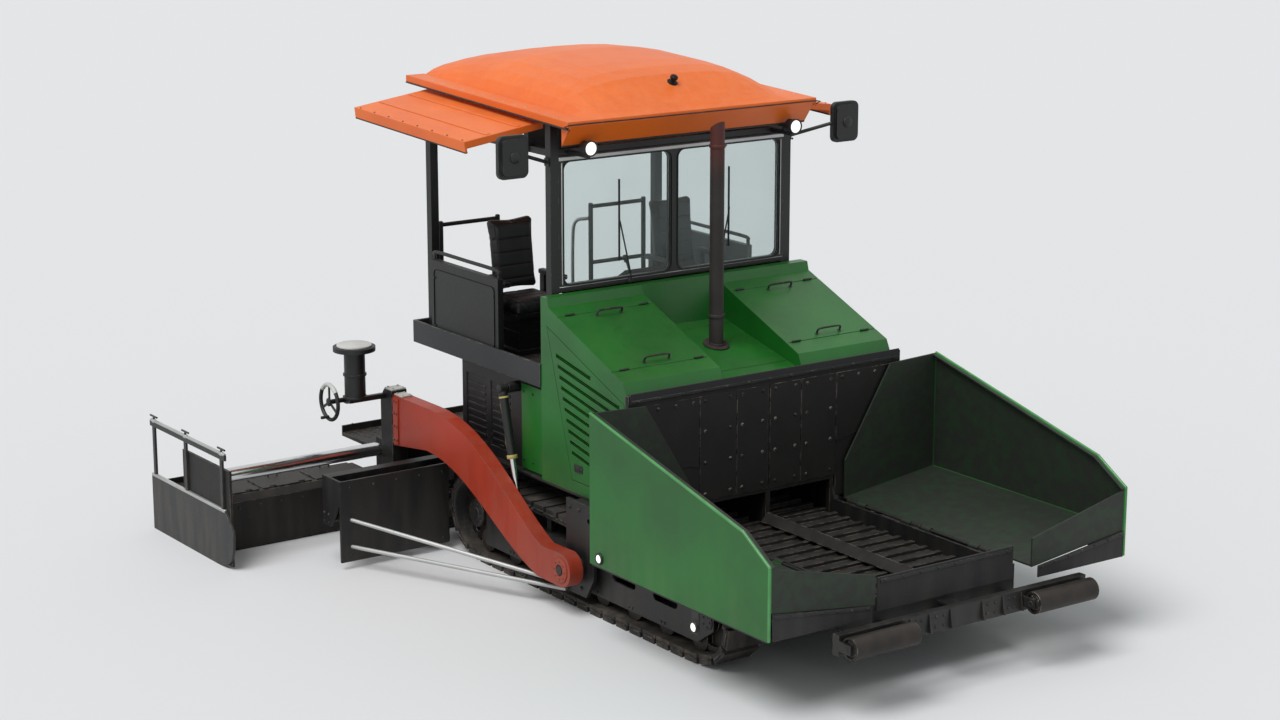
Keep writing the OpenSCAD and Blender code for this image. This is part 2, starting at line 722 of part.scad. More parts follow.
module wing() {
    in_w = hopper_half_w - 20;
    slope = (wing_floor_out_z - hinge_z) / (in_w - hinge_y);
    floor_in_z = hinge_z + slope * (wing_floor_in_y - hinge_y);
    cross_plate([[wing_floor_in_y, floor_in_z - wing_t], [in_w, wing_floor_out_z - wing_t],
        [in_w, wing_floor_out_z], [wing_floor_in_y, floor_in_z]], [wing_rear_x, wing_front_x]);
    side_plate(wing_side_outline, [in_w, hopper_half_w]);
    // Folded rim along the top of the side wall
    rim = [for (k = [2:4]) wing_side_outline[k]];
    side_plate(concat(rim, [for (k = [2:-1:0]) rim[k] - [0, 14]]), [in_w - 34, in_w]);
    // Ribs below the floor
    for (x = wing_rib_x)
        cross_plate([[780, hinge_z + slope * (780 - hinge_y) - wing_t - wing_rib_h],
            [in_w, wing_floor_out_z - wing_t - wing_rib_h], [in_w, wing_floor_out_z - wing_t],
            [780, hinge_z + slope * (780 - hinge_y) - wing_t]], [x, x + 12]);
    cross_plate([[wing_floor_in_y, floor_in_z - wing_t], [in_w, wing_floor_out_z - wing_t], [in_w, 1717],
        [1150, 1700], [wing_floor_in_y, 1000]], [wing_rear_x, wing_rear_x + wing_t]);
    cross_plate([[wing_floor_in_y, floor_in_z - wing_t], [in_w, wing_floor_out_z - wing_t], [in_w, 1105],
        [wing_floor_in_y, 900]], [wing_front_x - wing_t, wing_front_x]);
    difference() {
        for (k = wing_knuckles) {
            bar_x(k, hinge_y, hinge_z, knuckle_r);
            box(k, [hinge_y, wing_floor_in_y + 20], [hinge_z - 12, hinge_z]);
        }
        bar_x([wing_rear_x, wing_front_x], hinge_y, hinge_z, wing_pin_r + pin_gap);
    }
    // Lugs and pin for the rod of the wing cylinder
    lug_top = floor_in_z + slope * (wing_ram_head[0] - wing_floor_in_y) - wing_t / 2;
    for (x = [wing_ram_x - 38, wing_ram_x + 38])
        box([x - 7, x + 7], [wing_ram_head[0] - 30, wing_ram_head[0] + 30], [wing_ram_head[1] - 25, lug_top]);
    bar_x([wing_ram_x - 38, wing_ram_x + 38], wing_ram_head[0], wing_ram_head[1], 14);
}

module wing_right() {
    color(green) machine() on_side(-1) wing();
}

module wing_left() {
    color(green) machine() on_side(1) wing();
}

module along_wing_ram() {
    d = wing_ram_head - wing_ram_foot;
    translate([wing_ram_x, wing_ram_foot[0], wing_ram_foot[1]])
        rotate([atan2(d[1], d[0]), 0, 0]) rotate([0, 0, 90]) children();
}

module wing_barrel() {
    along_wing_ram() ram_barrel(430, 34, 20, 34, 18 + pin_gap, 76);
}

module wing_rod() {
    along_wing_ram() ram_rod(200, norm(wing_ram_head - wing_ram_foot), 20, 44, 14 + 17, 50);
}

module wing_barrel_right() {
    color(black) machine() on_side(-1) wing_barrel();
}

module wing_barrel_left() {
    color(black) machine() on_side(1) wing_barrel();
}

module wing_rod_right() {
    color(pale_steel) machine() on_side(-1) wing_rod();
}

module wing_rod_left() {
    color(pale_steel) machine() on_side(1) wing_rod();
}

// Push beam

push_roller_y = [push_beam_half_l - 25 - push_roller_l, push_beam_half_l - 25];

module push_beam() {
    color(black) machine() difference() {
        union() {
            box(push_beam_x, [-push_beam_half_l, push_beam_half_l], push_beam_z);
            box([push_pin_x - 35, push_beam_x[0]], [-50, 50], [485 + run_gap, 545 - run_gap]);
            both_sides() for (y = [push_roller_y[0] - 25, push_roller_y[1] + 5])
                box([push_beam_x[1], push_roller_x + 35], [y, y + 20],
                    [push_roller_z - 35, push_roller_z + 35]);
        }
        translate([push_pin_x, 0, 400]) cylinder(h = 300, r = push_pin_r + pin_gap);
        both_sides() bar_y(push_roller_x, push_roller_z, [100, push_beam_half_l + 10], 20 + pin_gap);
    }
}

module push_roller() {
    difference() {
        bar_y(push_roller_x, push_roller_z, push_roller_y, push_roller_r);
        for (y = push_roller_y)
            bar_y(push_roller_x, push_roller_z, [y - 12, y + 12], push_roller_r - 16);
    }
    bar_y(push_roller_x, push_roller_z, push_roller_y, 36);
    bar_y(push_roller_x, push_roller_z, [push_roller_y[0] - 25, push_roller_y[1] + 25], 20);
}

module push_roller_right() {
    color(steel) machine() on_side(-1) push_roller();
}

module push_roller_left() {
    color(steel) machine() on_side(1) push_roller();
}

// Hood, doors and panels

// Cut of a narrow seam at place x into the sloping top from point a to point b
function seam_outline(x, a, b) =
    let (z = a[1] + (x - a[0]) / (b[0] - a[0]) * (b[1] - a[1]))
    [[x - 5, z - 5], [x + 5, z - 5], [x + 5, z + 20], [x - 5, z + 20]];

module hood() {
    color(green) machine() difference() {
        union() {
            both_sides() side_plate(nose_outline, [valley_half_w - 1, hood_half_w]);
            side_plate(valley_outline, [-valley_half_w, valley_half_w]);
        }
        both_sides() {
            side_plate(inset(nose_outline, hood_t), [valley_half_w + hood_t, hood_half_w - hood_t]);
            side_plate(door_outline, [hood_half_w - 40, hood_half_w + 10]);
        }
        side_plate(inset(valley_outline, hood_t), [-valley_half_w - hood_t - 1, valley_half_w + hood_t + 1]);
        box([hood_rear_x + hood_t, hood_front_x - hood_t], [-hood_half_w + hood_t, hood_half_w - hood_t],
            [frame_top_z - 10, frame_top_z + 60]);
        translate([stack_x, 0, 1500]) cylinder(h = 900, r = stack_r + 8);
        // Seams of the engine cover, across the noses and the valley between them
        for (x = cover_seam_x) {
            both_sides() side_plate(seam_outline(x, nose_outline[3], nose_outline[4]),
                [valley_half_w + hood_t, hood_half_w + 1]);
            side_plate(seam_outline(x, valley_outline[3], valley_outline[4]),
                [-valley_half_w + 1, valley_half_w - 1]);
        }
    }
    color(green) machine() both_sides() for (z = door_hinge_z) {
        for (low = [z, z + 2 * door_knuckle_h + 2]) {
            translate([door_hinge_x, door_hinge_y, low]) cylinder(h = door_knuckle_h, r = 9);
            box([door_hinge_x - 5, door_hinge_x + 5], [hood_half_w, door_hinge_y],
                [low, low + door_knuckle_h]);
        }
        translate([door_hinge_x, door_hinge_y, z]) cylinder(h = 3 * door_knuckle_h + 2, r = 5);
    }
}

module side_door() {
    edge = inset(door_outline, run_gap);
    y = [hood_half_w - door_t, hood_half_w];
    difference() {
        side_plate(edge, y);
        for (k = [0:louvre_count - 1]) {
            z = louvre_low_z + k * louvre_pitch;
            rear_x = door_rear_x(z) + 60;
            front_x = min(door_outline[1][0] - 50, louvre_limit_x(z + louvre_h + 45, rear_x));
            low_z = z - (front_x - rear_x) * tan(louvre_slope);
            if (front_x > rear_x + 80)
                side_plate([[rear_x, z], [front_x, low_z], [front_x, low_z + louvre_h],
                    [rear_x, z + louvre_h]],
                    [y[0] - 1, y[1] + 1]);
        }
    }
    difference() {
        for (z = door_hinge_z) {
            low = z + door_knuckle_h + 1;
            translate([door_hinge_x, door_hinge_y, low]) cylinder(h = door_knuckle_h, r = 9);
            box([500, door_hinge_x], [hood_half_w, hood_half_w + 7], [low, low + door_knuckle_h]);
        }
        box([530, door_hinge_x + 10], [hood_half_w - 1, hood_half_w + 1], [900, 1800]);
        translate([door_hinge_x, door_hinge_y, 900]) cylinder(h = 900, r = 5 + pin_gap);
    }
}

module side_door_right() {
    color(green) machine() on_side(-1) side_door();
}

module side_door_left() {
    color(green) machine() on_side(1) side_door();
}

module side_panels() {
    color(green) machine() both_sides()
        box([hood_rear_x - 340, hood_rear_x - 5], [rear_body_half_w, rear_body_half_w + 20],
            [frame_top_z + 10, deck_z - 40]);
}

module exhaust_stack() {
    color(steel) machine() translate([stack_x, 0, 1500]) difference() {
        cylinder(h = stack_top_z - 1500, r = stack_r);
        translate([0, 0, -1]) cylinder(h = stack_top_z, r = stack_r - 6);
        translate([0, 0, stack_top_z - 1500 - stack_r]) rotate([0, -35, 0])
            translate([-500, -200, 0]) cube([1000, 400, 400]);
    }
}

// Operator's platform

module rear_body() {
    color(black) machine() {
        difference() {
            box(rear_body_x, [-rear_body_half_w, rear_body_half_w], [frame_top_z, deck_z]);
            both_sides() for (x = [rear_body_x[0] + 60, rear_body_x[0] + 420])
                box([x, x + 300], [rear_body_half_w - 8, rear_body_half_w + 1],
                    [frame_top_z + 80, deck_z - 120]);
        }
        both_sides() {
            bar_y(lift_top[0], lift_top[1], [rear_body_half_w, lift_y - 39], 42);
            bar_y(lift_top[0], lift_top[1], [lift_y - 39, lift_y + 32], lift_pin_r);
        }
    }
}

module platform() {
    fascia_rear_x = deck_rear_x + fascia_t;
    color(steel) machine() {
        box([fascia_rear_x, hood_rear_x - 2], [-deck_half_w + fascia_t, deck_half_w - fascia_t],
            [deck_z, floor_top_z]);
        both_sides() {
            box([deck_rear_x, hood_rear_x - 2], [deck_half_w - fascia_t, deck_half_w],
                [deck_z, fascia_top_z]);
            box([deck_rear_x, fascia_rear_x], [400, deck_half_w], [deck_z, fascia_top_z]);
            side_plate([[rear_body_x[0], deck_z - 350], [rear_body_x[0], deck_z], [deck_rear_x + 40, deck_z],
                [deck_rear_x + 40, deck_z - 40]], [900, 920]);
        }
        box([deck_rear_x, fascia_rear_x], [-400, 400], [deck_z, floor_top_z]);
    }
}

module access_steps() {
    color(steel) machine() {
        both_sides() box([deck_rear_x - 160, deck_rear_x], [330, 345], [1060, deck_z + 20]);
        for (z = [1075, 1250, 1425])
            box([deck_rear_x - 160, deck_rear_x - 10], [-330, 330], [z, z + 30]);
    }
}

module guard_rails() {
    top_z = 2560;
    rail_x = deck_rear_x + fascia_t + 22;
    color(black) machine() both_sides() {
        box([-2180, -1180], [deck_half_w - fascia_t - 52, deck_half_w - fascia_t - 2], [floor_top_z, 2320]);
        for (y = [460, 1000])
            translate([rail_x, y, floor_top_z]) cylinder(h = top_z - floor_top_z, r = 20);
        for (z = [2060, top_z - 22])
            bar_y(rail_x, z, [460, 1000], 17);
    }
}

module operator_console() {
    color(black) machine() {
        box([-860, -720], [-120, 120], [floor_top_z, 2100]);
        side_plate([[-1020, 2060], [-700, 2100], [-700, 2330], [-760, 2360], [-1020, 2200]], [-330, 330]);
        box([-760, -700], [-1000, 1000], [2010, 2060]);
    }
}

module seat_pedestals() {
    color(black) machine() both_sides() {
        box([seat_x[0] + 40, seat_x[1] - 110], [seat_y - 150, seat_y + 150], [floor_top_z, floor_top_z + 40]);
        for (k = [0:3])
            box([seat_x[0] + 70 - 8 * (k % 2), seat_x[1] - 140 + 8 * (k % 2)],
                [seat_y - 118 - 8 * (k % 2), seat_y + 118 + 8 * (k % 2)],
                [floor_top_z + 40 + 70 * k, floor_top_z + 110 + 70 * k]);
        box([seat_x[0], seat_x[1] - 40], [seat_y - 210, seat_y + 210], [seat_pan_z - 30, seat_pan_z]);
        // Armrests on brackets beside the cushions
        box([seat_x[0] + 60, seat_x[0] + 120], [seat_y - 265, seat_y + 265], [seat_pan_z - 30, seat_pan_z]);
        for (s = [-1, 1]) {
            mid_y = seat_y + s * 250;
            pad_y = seat_y + s * 265;
            box([seat_x[0] + 60, seat_x[0] + 120], [mid_y - 15, mid_y + 15],
                [seat_pan_z - 30, seat_pan_z + 225]);
            soft_block([seat_x[0] + 40, seat_x[0] + 370], [pad_y - 30, pad_y + 30],
                [seat_pan_z + 220, seat_pan_z + 260], 14);
        }
    }
}

module seat_cushions() {
    cushion_top_z = seat_pan_z + seat_cushion_t;
    color(rubber) machine() both_sides() {
        box(seat_x, [seat_y - seat_half_w, seat_y + seat_half_w], [seat_pan_z + seat_gap, cushion_top_z]);
        side_plate([[seat_x[0] + 5, cushion_top_z + seat_gap], [seat_x[0] + 100, cushion_top_z + seat_gap],
            [seat_x[0] + 30, cushion_top_z + seat_back_h], [seat_x[0] - 65, cushion_top_z + seat_back_h]],
            [seat_y - seat_half_w + 10, seat_y + seat_half_w - 10]);
    }
}

// Canopy

// Place along X of each roof section, and its share of the crown
roof_sections = [
    [roof_rear_x, 0.4], [roof_rear_x + 130, 0.58], [roof_rear_x + 420, 0.82], [roof_rear_x + 900, 1],
    [roof_front_x - 800, 1], [roof_front_x - 560, 0.95], [roof_front_x - 400, 0.82],
    [roof_front_x - 180, 0.34], [roof_front_x - header_lean - 2, 0.224], [roof_front_x - header_lean, 0.22],
    [roof_front_x - 50, 0.08], [roof_front_x, 0]
];
// Place across as a share of the half width, and share of the crown there, with a groove inside the flange
roof_profile = [
    [0, 1], [0.22, 0.985], [0.42, 0.92], [0.58, 0.79], [0.7, 0.57], [0.78, 0.3], [0.825, 0.05],
    [0.84, -0.05], [0.855, 0], [1, 0]
];
function roof_line(x) = roof_edge_z + (roof_front_x - x) * tan(canopy_pitch);
function roof_z(x, y) =
    roof_line(x) + roof_crown * lookup(x, roof_sections) * lookup(abs(y) / roof_half_w, roof_profile);
function roof_under_z(x, y) = roof_z(x, y) - roof_shell_t;
// Underside of the header, which leans back from the front edge
function header_z(x) =
    let (low = [roof_front_x - header_lean, header_low_z],
        high = [roof_front_x, roof_edge_z - roof_shell_t - 10])
    x < low[0] ? roof_edge_z + roof_crown : lookup(x, [low, high]);
function roof_low_z(x, y) = min(roof_under_z(x, y), header_z(x));

// One section of the roof's shell: over the top from right to left, and back below it with both lips
function roof_ring(x) =
    let (n = len(roof_profile) - 1, lip_y = roof_half_w - roof_lip_t, lip_z = roof_line(x) - roof_lip,
        top = concat([for (k = [n:-1:1]) -roof_profile[k][0]], [for (k = [0:n]) roof_profile[k][0]]),
        under = [for (k = [2 * n - 1:-1:1]) top[k] * roof_half_w])
    concat([for (v = top) [x, v * roof_half_w, roof_z(x, v * roof_half_w)]],
        [[x, roof_half_w, lip_z], [x, lip_y, lip_z], [x, lip_y, roof_low_z(x, roof_half_w)]],
        [for (y = under) [x, y, roof_low_z(x, y)]],
        [[x, -lip_y, roof_low_z(x, roof_half_w)], [x, -lip_y, lip_z], [x, -roof_half_w, lip_z]]);

module roof_shell() {
    rings = [for (s = roof_sections) roof_ring(s[0])];
    m = len(rings[0]);
    points = [for (ring = rings, p = ring) p];
    // Two triangles between each pair of neighbours on two rings
    sides = [for (i = [0:len(rings) - 2], j = [0:m - 1], half = [0, 1])
        let (a = i * m + j, b = i * m + (j + 1) % m)
        half == 0 ? [a, b, b + m] : [a, b + m, a + m]];
    // Faces of one end: the shell between its top and its underside, then both lips
    n = len(roof_profile) - 1;
    left_lip = 2 * n;
    right_lip = 4 * n + 3;
    end = concat([for (k = [1:2 * n - 2]) [k, k + 1, 4 * n + 2 - k, 4 * n + 3 - k]], [
        [left_lip - 1, left_lip + 3, left_lip + 4], [left_lip - 1, left_lip, left_lip + 3],
        [left_lip, left_lip + 1, left_lip + 2, left_lip + 3],
        [1, right_lip - 1, right_lip], [1, right_lip, 0], [0, right_lip, right_lip + 1, right_lip + 2]
    ]);
    rear = [for (f = end) [for (k = [len(f) - 1:-1:0]) f[k]]];
    front = [for (f = end) [for (i = f) i + (len(rings) - 1) * m]];
    polyhedron(points, concat(sides, rear, front));
}

module roof() {
    color(roof_orange) machine() roof_shell();
}

// Frame of an awning's underside: origin at its front below the roof's edge, +Y down its slope
module in_awning_plane() {
    translate([awning_x[1], roof_half_w, awning_under_z])
        rotate([-awning_slope, 0, 0]) rotate([0, canopy_pitch, 0]) children();
}

module canopy_frame() {
    post_out_y = post_y + post_w / 2;
    hanger_y = [380, 440];
    color(black) machine() {
        both_sides() {
            box(front_post_x, [post_y - post_w / 2, post_out_y],
                [floor_top_z, roof_under_z(front_post_x[1], post_out_y) - seat_gap - 2]);
            box(rear_post_x, [post_y - post_w / 2, post_out_y], [floor_top_z, beam_z[1]]);
            box([rear_post_x[0], front_post_x[1]], [post_y - 25, post_y + 25], beam_z);
            // Rails that carry the awning, cut off along its underside
            difference() {
                for (x = awning_rail_x)
                    box([x, x + awning_rail_w], [awning_rail_in_y, post_out_y],
                        [beam_z[0], roof_edge_z + 160]);
                in_awning_plane() box([-2500, 300], [-900, 200], [-seat_gap, 500]);
            }
            box(rear_post_x, hanger_y, [beam_z[0], roof_under_z(rear_post_x[0], hanger_y[1]) - seat_gap - 2]);
        }
        for (x = [front_post_x[0], awning_rail_x[0], awning_rail_x[1]])
            box([x, x + awning_rail_w], [-post_y, post_y], beam_z);
    }
}

module awning() {
    length = awning_x[1] - awning_x[0];
    in_y = (awning_in_y - roof_half_w) / cos(awning_slope);
    out_y = (awning_out_y - roof_half_w) / cos(awning_slope);
    in_awning_plane() {
        box([-length, 0], [in_y, out_y], [0, awning_t]);
        box([-length, 0], [out_y - awning_skin, out_y], [-awning_lip, awning_t]);
        for (x = [-length, -awning_skin])
            box([x, x + awning_skin], [in_y + 20, out_y], [-awning_end_lip, awning_t]);
    }
}

module awning_right() {
    color(roof_orange) machine() on_side(-1) awning();
}

module awning_left() {
    color(roof_orange) machine() on_side(1) awning();
}

window_z = [hood_ledge_z + 60, beam_z[0] - 50];
window_y = [40, post_y - post_w / 2 - 50];
window_corner = 60;

module windscreen_frame() {
    half_w = post_y - post_w / 2;
    color(black) machine() difference() {
        box([front_post_x[0] + 25, front_post_x[1]], [-half_w, half_w], [hood_ledge_z, beam_z[0]]);
        both_sides() soft_block([front_post_x[0], front_post_x[1] + 10], window_y, window_z, window_corner);
        box([front_post_x[0], hood_rear_x - 2], [-half_w, half_w], [hood_ledge_z - 1, hood_ledge_z]);
    }
}

module windscreen_glass() {
    x = front_post_x[0] + 44;
    fit = [seat_gap, -seat_gap];
    color(glass) machine() both_sides() soft_block([x, x + 8], window_y + fit, window_z + fit, window_corner);
}

module work_lights() {
    color(lamp_white) machine() both_sides() {
        difference() {
            union() {
                bar_x(lamp_x, lamp_y, lamp_z, lamp_r);
                bar_x([lamp_x[1] - 18, lamp_x[1]], lamp_y, lamp_z, lamp_r + 8);
            }
            bar_x([lamp_x[1] - 8, lamp_x[1] + 1], lamp_y, lamp_z, lamp_r - 2);
        }
        box([front_post_x[0] + awning_rail_w, lamp_x[0] + 50], [lamp_y - 15, lamp_y + 15],
            [beam_z[0] + 10, beam_z[1] - 10]);
    }
}

// Mirror with its glass to the rear, set back in its rim
module mirrors() {
    foot = [front_post_x[1] - 35, post_y + post_w / 2, beam_z[0] - 40];
    x = mirror_place[0];
    y = [mirror_place[1] - mirror_half_w, mirror_place[1] + mirror_half_w];
    z = [mirror_place[2] - mirror_half_h, mirror_place[2] + mirror_half_h];
    color(black) machine() both_sides() {
        box([front_post_x[0] + 10, front_post_x[1] - 10], [foot[1], foot[1] + 16],
            [foot[2] - 30, foot[2] + 30]);
        bar(foot + [0, 8, 0], [x - 5, y[0] + 25, mirror_place[2]], 14);
        difference() {
            union() {
                soft_block([x - 25, x + 10], y, z, 50);
                soft_block([x + 10, x + 35], [y[0] + 24, y[1] - 24], [z[0] + 24, z[1] - 24], 40);
            }
            soft_block([x - 26, x - 15], [y[0] + 12, y[1] - 12], [z[0] + 12, z[1] - 12], 40);
        }
    }
}

// Augers

// Helical blade around the shaft, as a sweep of one radial bar
module auger_flight(length) {
    steps = 16;
    n = auger_turns * steps;
    root_r = (auger_shaft_r + seat_gap) / cos(180 / steps);
    bar = [[root_r, -7], [auger_r, -5], [auger_r, 5], [root_r, 7]];
    points = [for (k = [0:n], p = bar) let (a = 360 * auger_turns * k / n)
        [p[0] * cos(a), p[0] * sin(a), k * length / n + p[1]]];
    // Triangles between one bar, points 0 to 3, and the next, points 4 to 7
    step_faces = [[0, 1, 5], [0, 5, 4], [1, 2, 6], [1, 6, 5], [2, 3, 6], [3, 7, 6], [3, 0, 4], [3, 4, 7]];
    sides = [for (k = [0:n - 1], f = step_faces) [f[0] + 4 * k, f[1] + 4 * k, f[2] + 4 * k]];
    polyhedron(points, concat([[3, 2, 1, 0]], sides, [[4 * n, 4 * n + 1, 4 * n + 2, 4 * n + 3]]));
}

module auger() {
    translate([auger_x, auger_in_y, auger_z]) rotate([-90, 0, 0]) {
        cylinder(h = auger_out_y - auger_in_y, r = auger_shaft_r);
        translate([0, 0, 40]) auger_flight(auger_out_y - auger_in_y - 80);
    }
}

module auger_right() {
    color(steel) machine() on_side(-1) auger();
}

module auger_left() {
    color(steel) machine() on_side(1) auger();
}

module auger_support() {
    hang_y = auger_out_y + 20;
    color(black) machine() {
        box([auger_x - 70, auger_x + 70], [-auger_in_y + 5, auger_in_y - 5], [auger_z - 80, 780]);
        both_sides() {
            box([auger_x - 50, auger_x + 50], [auger_in_y - 5, hang_y], [640, 720]);
            side_plate([[auger_x - 60, auger_z - 60], [auger_x + 60, auger_z - 60], [channel_x[1], 560],
                [channel_x[1], 720], [auger_x - 60, 720]], [hang_y, hang_y + 20]);
            side_plate([[auger_x - 50, 640], [frame_rear_x - 1, 640], [frame_rear_x + 150, 700],
                [frame_rear_x + 150, 850], [auger_x - 50, 720]], [frame_half_w, frame_half_w + 20]);
            box(channel_x, [channel_in_y, hang_y + 20], [60, 720]);
            bar_y(auger_x, auger_z, [auger_out_y + seat_gap, hang_y], 40);
        }
        bar_y(auger_x, auger_z, [-auger_in_y + seat_gap, auger_in_y - seat_gap], 60);
    }
}

module auger_struts() {
    color(pale_steel) machine() both_sides() difference() {
        for (z = [[180, 150], [400, 195]])
            bar([channel_x[1] - 20, 2190, z[0]], [-90, arm_in_y - 50 + strut_r, z[1]], strut_r);
        box([channel_x[0] - 60, channel_x[1]], [channel_in_y, auger_out_y], [0, 600]);
    }
}

// Screed

module tow_arm() {
    top = cubic_line([[-1850, 1200], [-1100, 1210], [-720, 720], [-200, 490]], 14);
    bottom = cubic_line([[-250, 240], [-800, 380], [-1250, 850], [-1860, 850]], 14);
    rear = [[arm_rear_x, 780], [arm_rear_x, 1200]];
    difference() {
        union() {
            side_plate(concat(bottom, rear, top, [[tow_pin_x, 495], [tow_pin_x, 235]]),
                [arm_in_y, arm_in_y + arm_w]);
            bar_y(tow_pin_x, tow_pin_z, [arm_in_y, arm_in_y + arm_w], 131);
        }
        bar_y(tow_pin_x, tow_pin_z, [arm_in_y - 1, arm_in_y + arm_w + 1], tow_pin_r + pin_gap);
    }
    bar_y(lift_foot[0], lift_foot[1], [lift_y - 32, arm_in_y], lift_pin_r);
}

module tow_arms() {
    color(arm_red) machine() both_sides() tow_arm();
}

base_outline = [
    [base_rear_x, 0], [base_front_x - 15, 0], [base_front_x, 15], [base_front_x, 420],
    [base_front_x - 70, 500], [base_rear_x + 60, 520], [base_rear_x, 440]
];

module base_screed() {
    color(black) machine() difference() {
        union() {
            side_plate(base_outline, [-screed_half_w, screed_half_w]);
            both_sides() side_plate([[arm_rear_x - 180, 400], [arm_rear_x, 400], [arm_rear_x, 1230],
                [arm_rear_x - 120, 1230], [arm_rear_x - 180, 1150]], [arm_in_y - 10, screed_half_w]);
            for (g = guide_tubes) on_side(g[0])
                box([g[1] - 80, g[1] + 80], [700, screed_half_w - 20], [450, guide_z + 80]);
            box([base_walk_rear_x, base_rear_x], [-1300, 1300], [560, 590]);
            box([base_walk_rear_x, base_walk_rear_x + 12], [-1300, 1300], [590, 650]);
            // Hinged covers over the heating
            for (k = [-2:1])
                side_plate([[base_rear_x + 70, 515], [base_front_x - 80, 495], [base_front_x - 80, 511],
                    [base_rear_x + 70, 531]], [k * cover_pitch + 15, (k + 1) * cover_pitch - 15]);
            for (y = [-1200, -400, 400, 1200])
                side_plate([[base_rear_x + 60, 500], [base_rear_x + 60, 590], [base_walk_rear_x, 575],
                    [base_walk_rear_x, 545], [base_rear_x - 40, 470]], [y - 10, y + 10]);
        }
        for (g = guide_tubes) on_side(g[0])
            bar_y(g[1], guide_z, [600, screed_half_w + 10], guide_r + seat_gap + 0.1);
    }
}

module control_stands() {
    x = stand_place[0];
    y = stand_place[1];
    color(black) machine() both_sides() {
        box([x - 20, x + 20], [screed_half_w, y + 60], [stand_low_z - 40, stand_low_z]);
        translate([x, y, stand_low_z]) {
            cylinder(h = stand_h, r = 85);
            for (z = [0, stand_h / 2 - 8, stand_h - 16]) translate([0, 0, z]) cylinder(h = 16, r = 95);
            translate([0, 0, stand_h]) cylinder(h = 36, r = stand_cap_r);
            translate([0, 0, stand_h + 36]) cylinder(h = 12, r = stand_cap_r - 25);
        }
        // Hand wheel on a bracket
        wheel_x = wheel_place[0];
        wheel_z = wheel_place[2];
        side_plate([[x + 20, stand_low_z - 40], [x + 20, stand_low_z], [wheel_x - 30, wheel_z + 30],
            [wheel_x - 30, wheel_z - 30], [wheel_x + 30, wheel_z - 30]], [y - 20, y]);
        bar_y(wheel_x, wheel_z, [y - 20, wheel_place[1] + 12], 20);
        translate(wheel_place) rotate([90, 0, 0]) {
            rotate_extrude() translate([wheel_r - 16, 0]) circle(r = 16);
            for (a = [90, 210, 330]) rotate([0, 0, a]) translate([0, -10, -5]) cube([wheel_r - 14, 20, 10]);
        }
    }
}

module extension(tube_x) {
    outline = [
        [ext_rear_x, 0], [ext_front_x - 15, 0], [ext_front_x, 15], [ext_front_x, 400],
        [ext_front_x - 50, 450], [ext_rear_x + 40, 450], [ext_rear_x, 400]
    ];
    side_plate(outline, [ext_in_y, ext_out_y]);
    box([ext_rear_x, base_front_x - 30], [ext_out_y, ext_out_y + end_plate_t], [20, guide_z + 100]);
    bar_y(tube_x, guide_z, [900, ext_out_y + 1], guide_r);
    box([walk_rear_x, ext_rear_x], [ext_in_y + 20, ext_out_y], [330, 350]);
    box([walk_rear_x, walk_rear_x + 10], [ext_in_y + 20, ext_out_y], [350, 400]);
    for (k = [0:2])
        box([ext_rear_x + 50, ext_front_x - 60], [ext_in_y + 60 + 480 * k, ext_in_y + 500 + 480 * k],
            [445, 464]);
}

module extension_right() {
    color(black) machine() on_side(-1) extension(guide_tubes[1][1]);
}

module extension_left() {
    color(black) machine() on_side(1) extension(guide_tubes[0][1]);
}

module end_gate() {
    y = [gate_in_y, gate_in_y + gate_t];
    nose = cubic_line([[gate_front_x - 300, 0], [gate_front_x - 110, 0], [gate_front_x, 70],
        [gate_front_x, 250]], 10);
    side_plate(concat([[walk_rear_x, 0]], nose, [[gate_front_x, 330], [gate_front_x - 130, 470],
        [walk_rear_x, 470]]), y);
    for (x = gate_post_x) {
        box([x - 18, x + 18], y, [470, gate_rail_z[1]]);
        // Screw adjuster with its handle
        translate([x, y[0] + gate_t / 2, gate_rail_z[1]]) cylinder(h = 44, r = 9);
        bar_x([x - 60, x + 60], y[0] + gate_t / 2, gate_rail_z[1] + 40, 8);
    }
    box([walk_rear_x, gate_front_x - 110], y, gate_rail_z);
}

module end_gate_right() {
    color(steel) machine() on_side(-1) end_gate();
}

module end_gate_left() {
    color(steel) machine() on_side(1) end_gate();
}

module along_lift_ram() {
    d = lift_foot - lift_top;
    translate([lift_top[0], lift_y, lift_top[1]]) rotate([0, -atan2(d[1], d[0]), 0]) children();
}

module lift_barrels() {
    color(black) machine() both_sides() along_lift_ram()
        ram_barrel(540, 34, 22, 34, lift_pin_r + pin_gap, 56);
}

module lift_rods() {
    color(pale_steel) machine() both_sides() along_lift_ram()
        ram_rod(300, norm(lift_foot - lift_top), 22, 40, lift_pin_r + 8, 56);
}

main_frame();
engine_block();
track_frames();
track_wheels();
track_right();
track_left();
conveyor_slats();
conveyor_ridge();
bulkhead();
front_apron();
tow_brackets();
tie_down_eyes();
wing_right();
wing_left();
wing_barrel_right();
wing_barrel_left();
wing_rod_right();
wing_rod_left();
push_beam();
push_roller_right();
push_roller_left();
hood();
side_door_right();
side_door_left();
side_panels();
exhaust_stack();
rear_body();
platform();
access_steps();
guard_rails();
operator_console();
seat_pedestals();
seat_cushions();
canopy_frame();
roof();
awning_right();
awning_left();
windscreen_frame();
windscreen_glass();
work_lights();
mirrors();
auger_right();
auger_left();
auger_support();
auger_struts();
tow_arms();
base_screed();
control_stands();
extension_right();
extension_left();
end_gate_right();
end_gate_left();
lift_barrels();
lift_rods();
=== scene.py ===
"""Looks of a tracked asphalt paver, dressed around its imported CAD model.

The frame is in metres, +X forward, +Y left and +Z up, with the origin on the ground in the middle. Every
piece is modelled in millimetres of the CAD source, which measures along X from the middle of the tracks.
"""

from __future__ import annotations

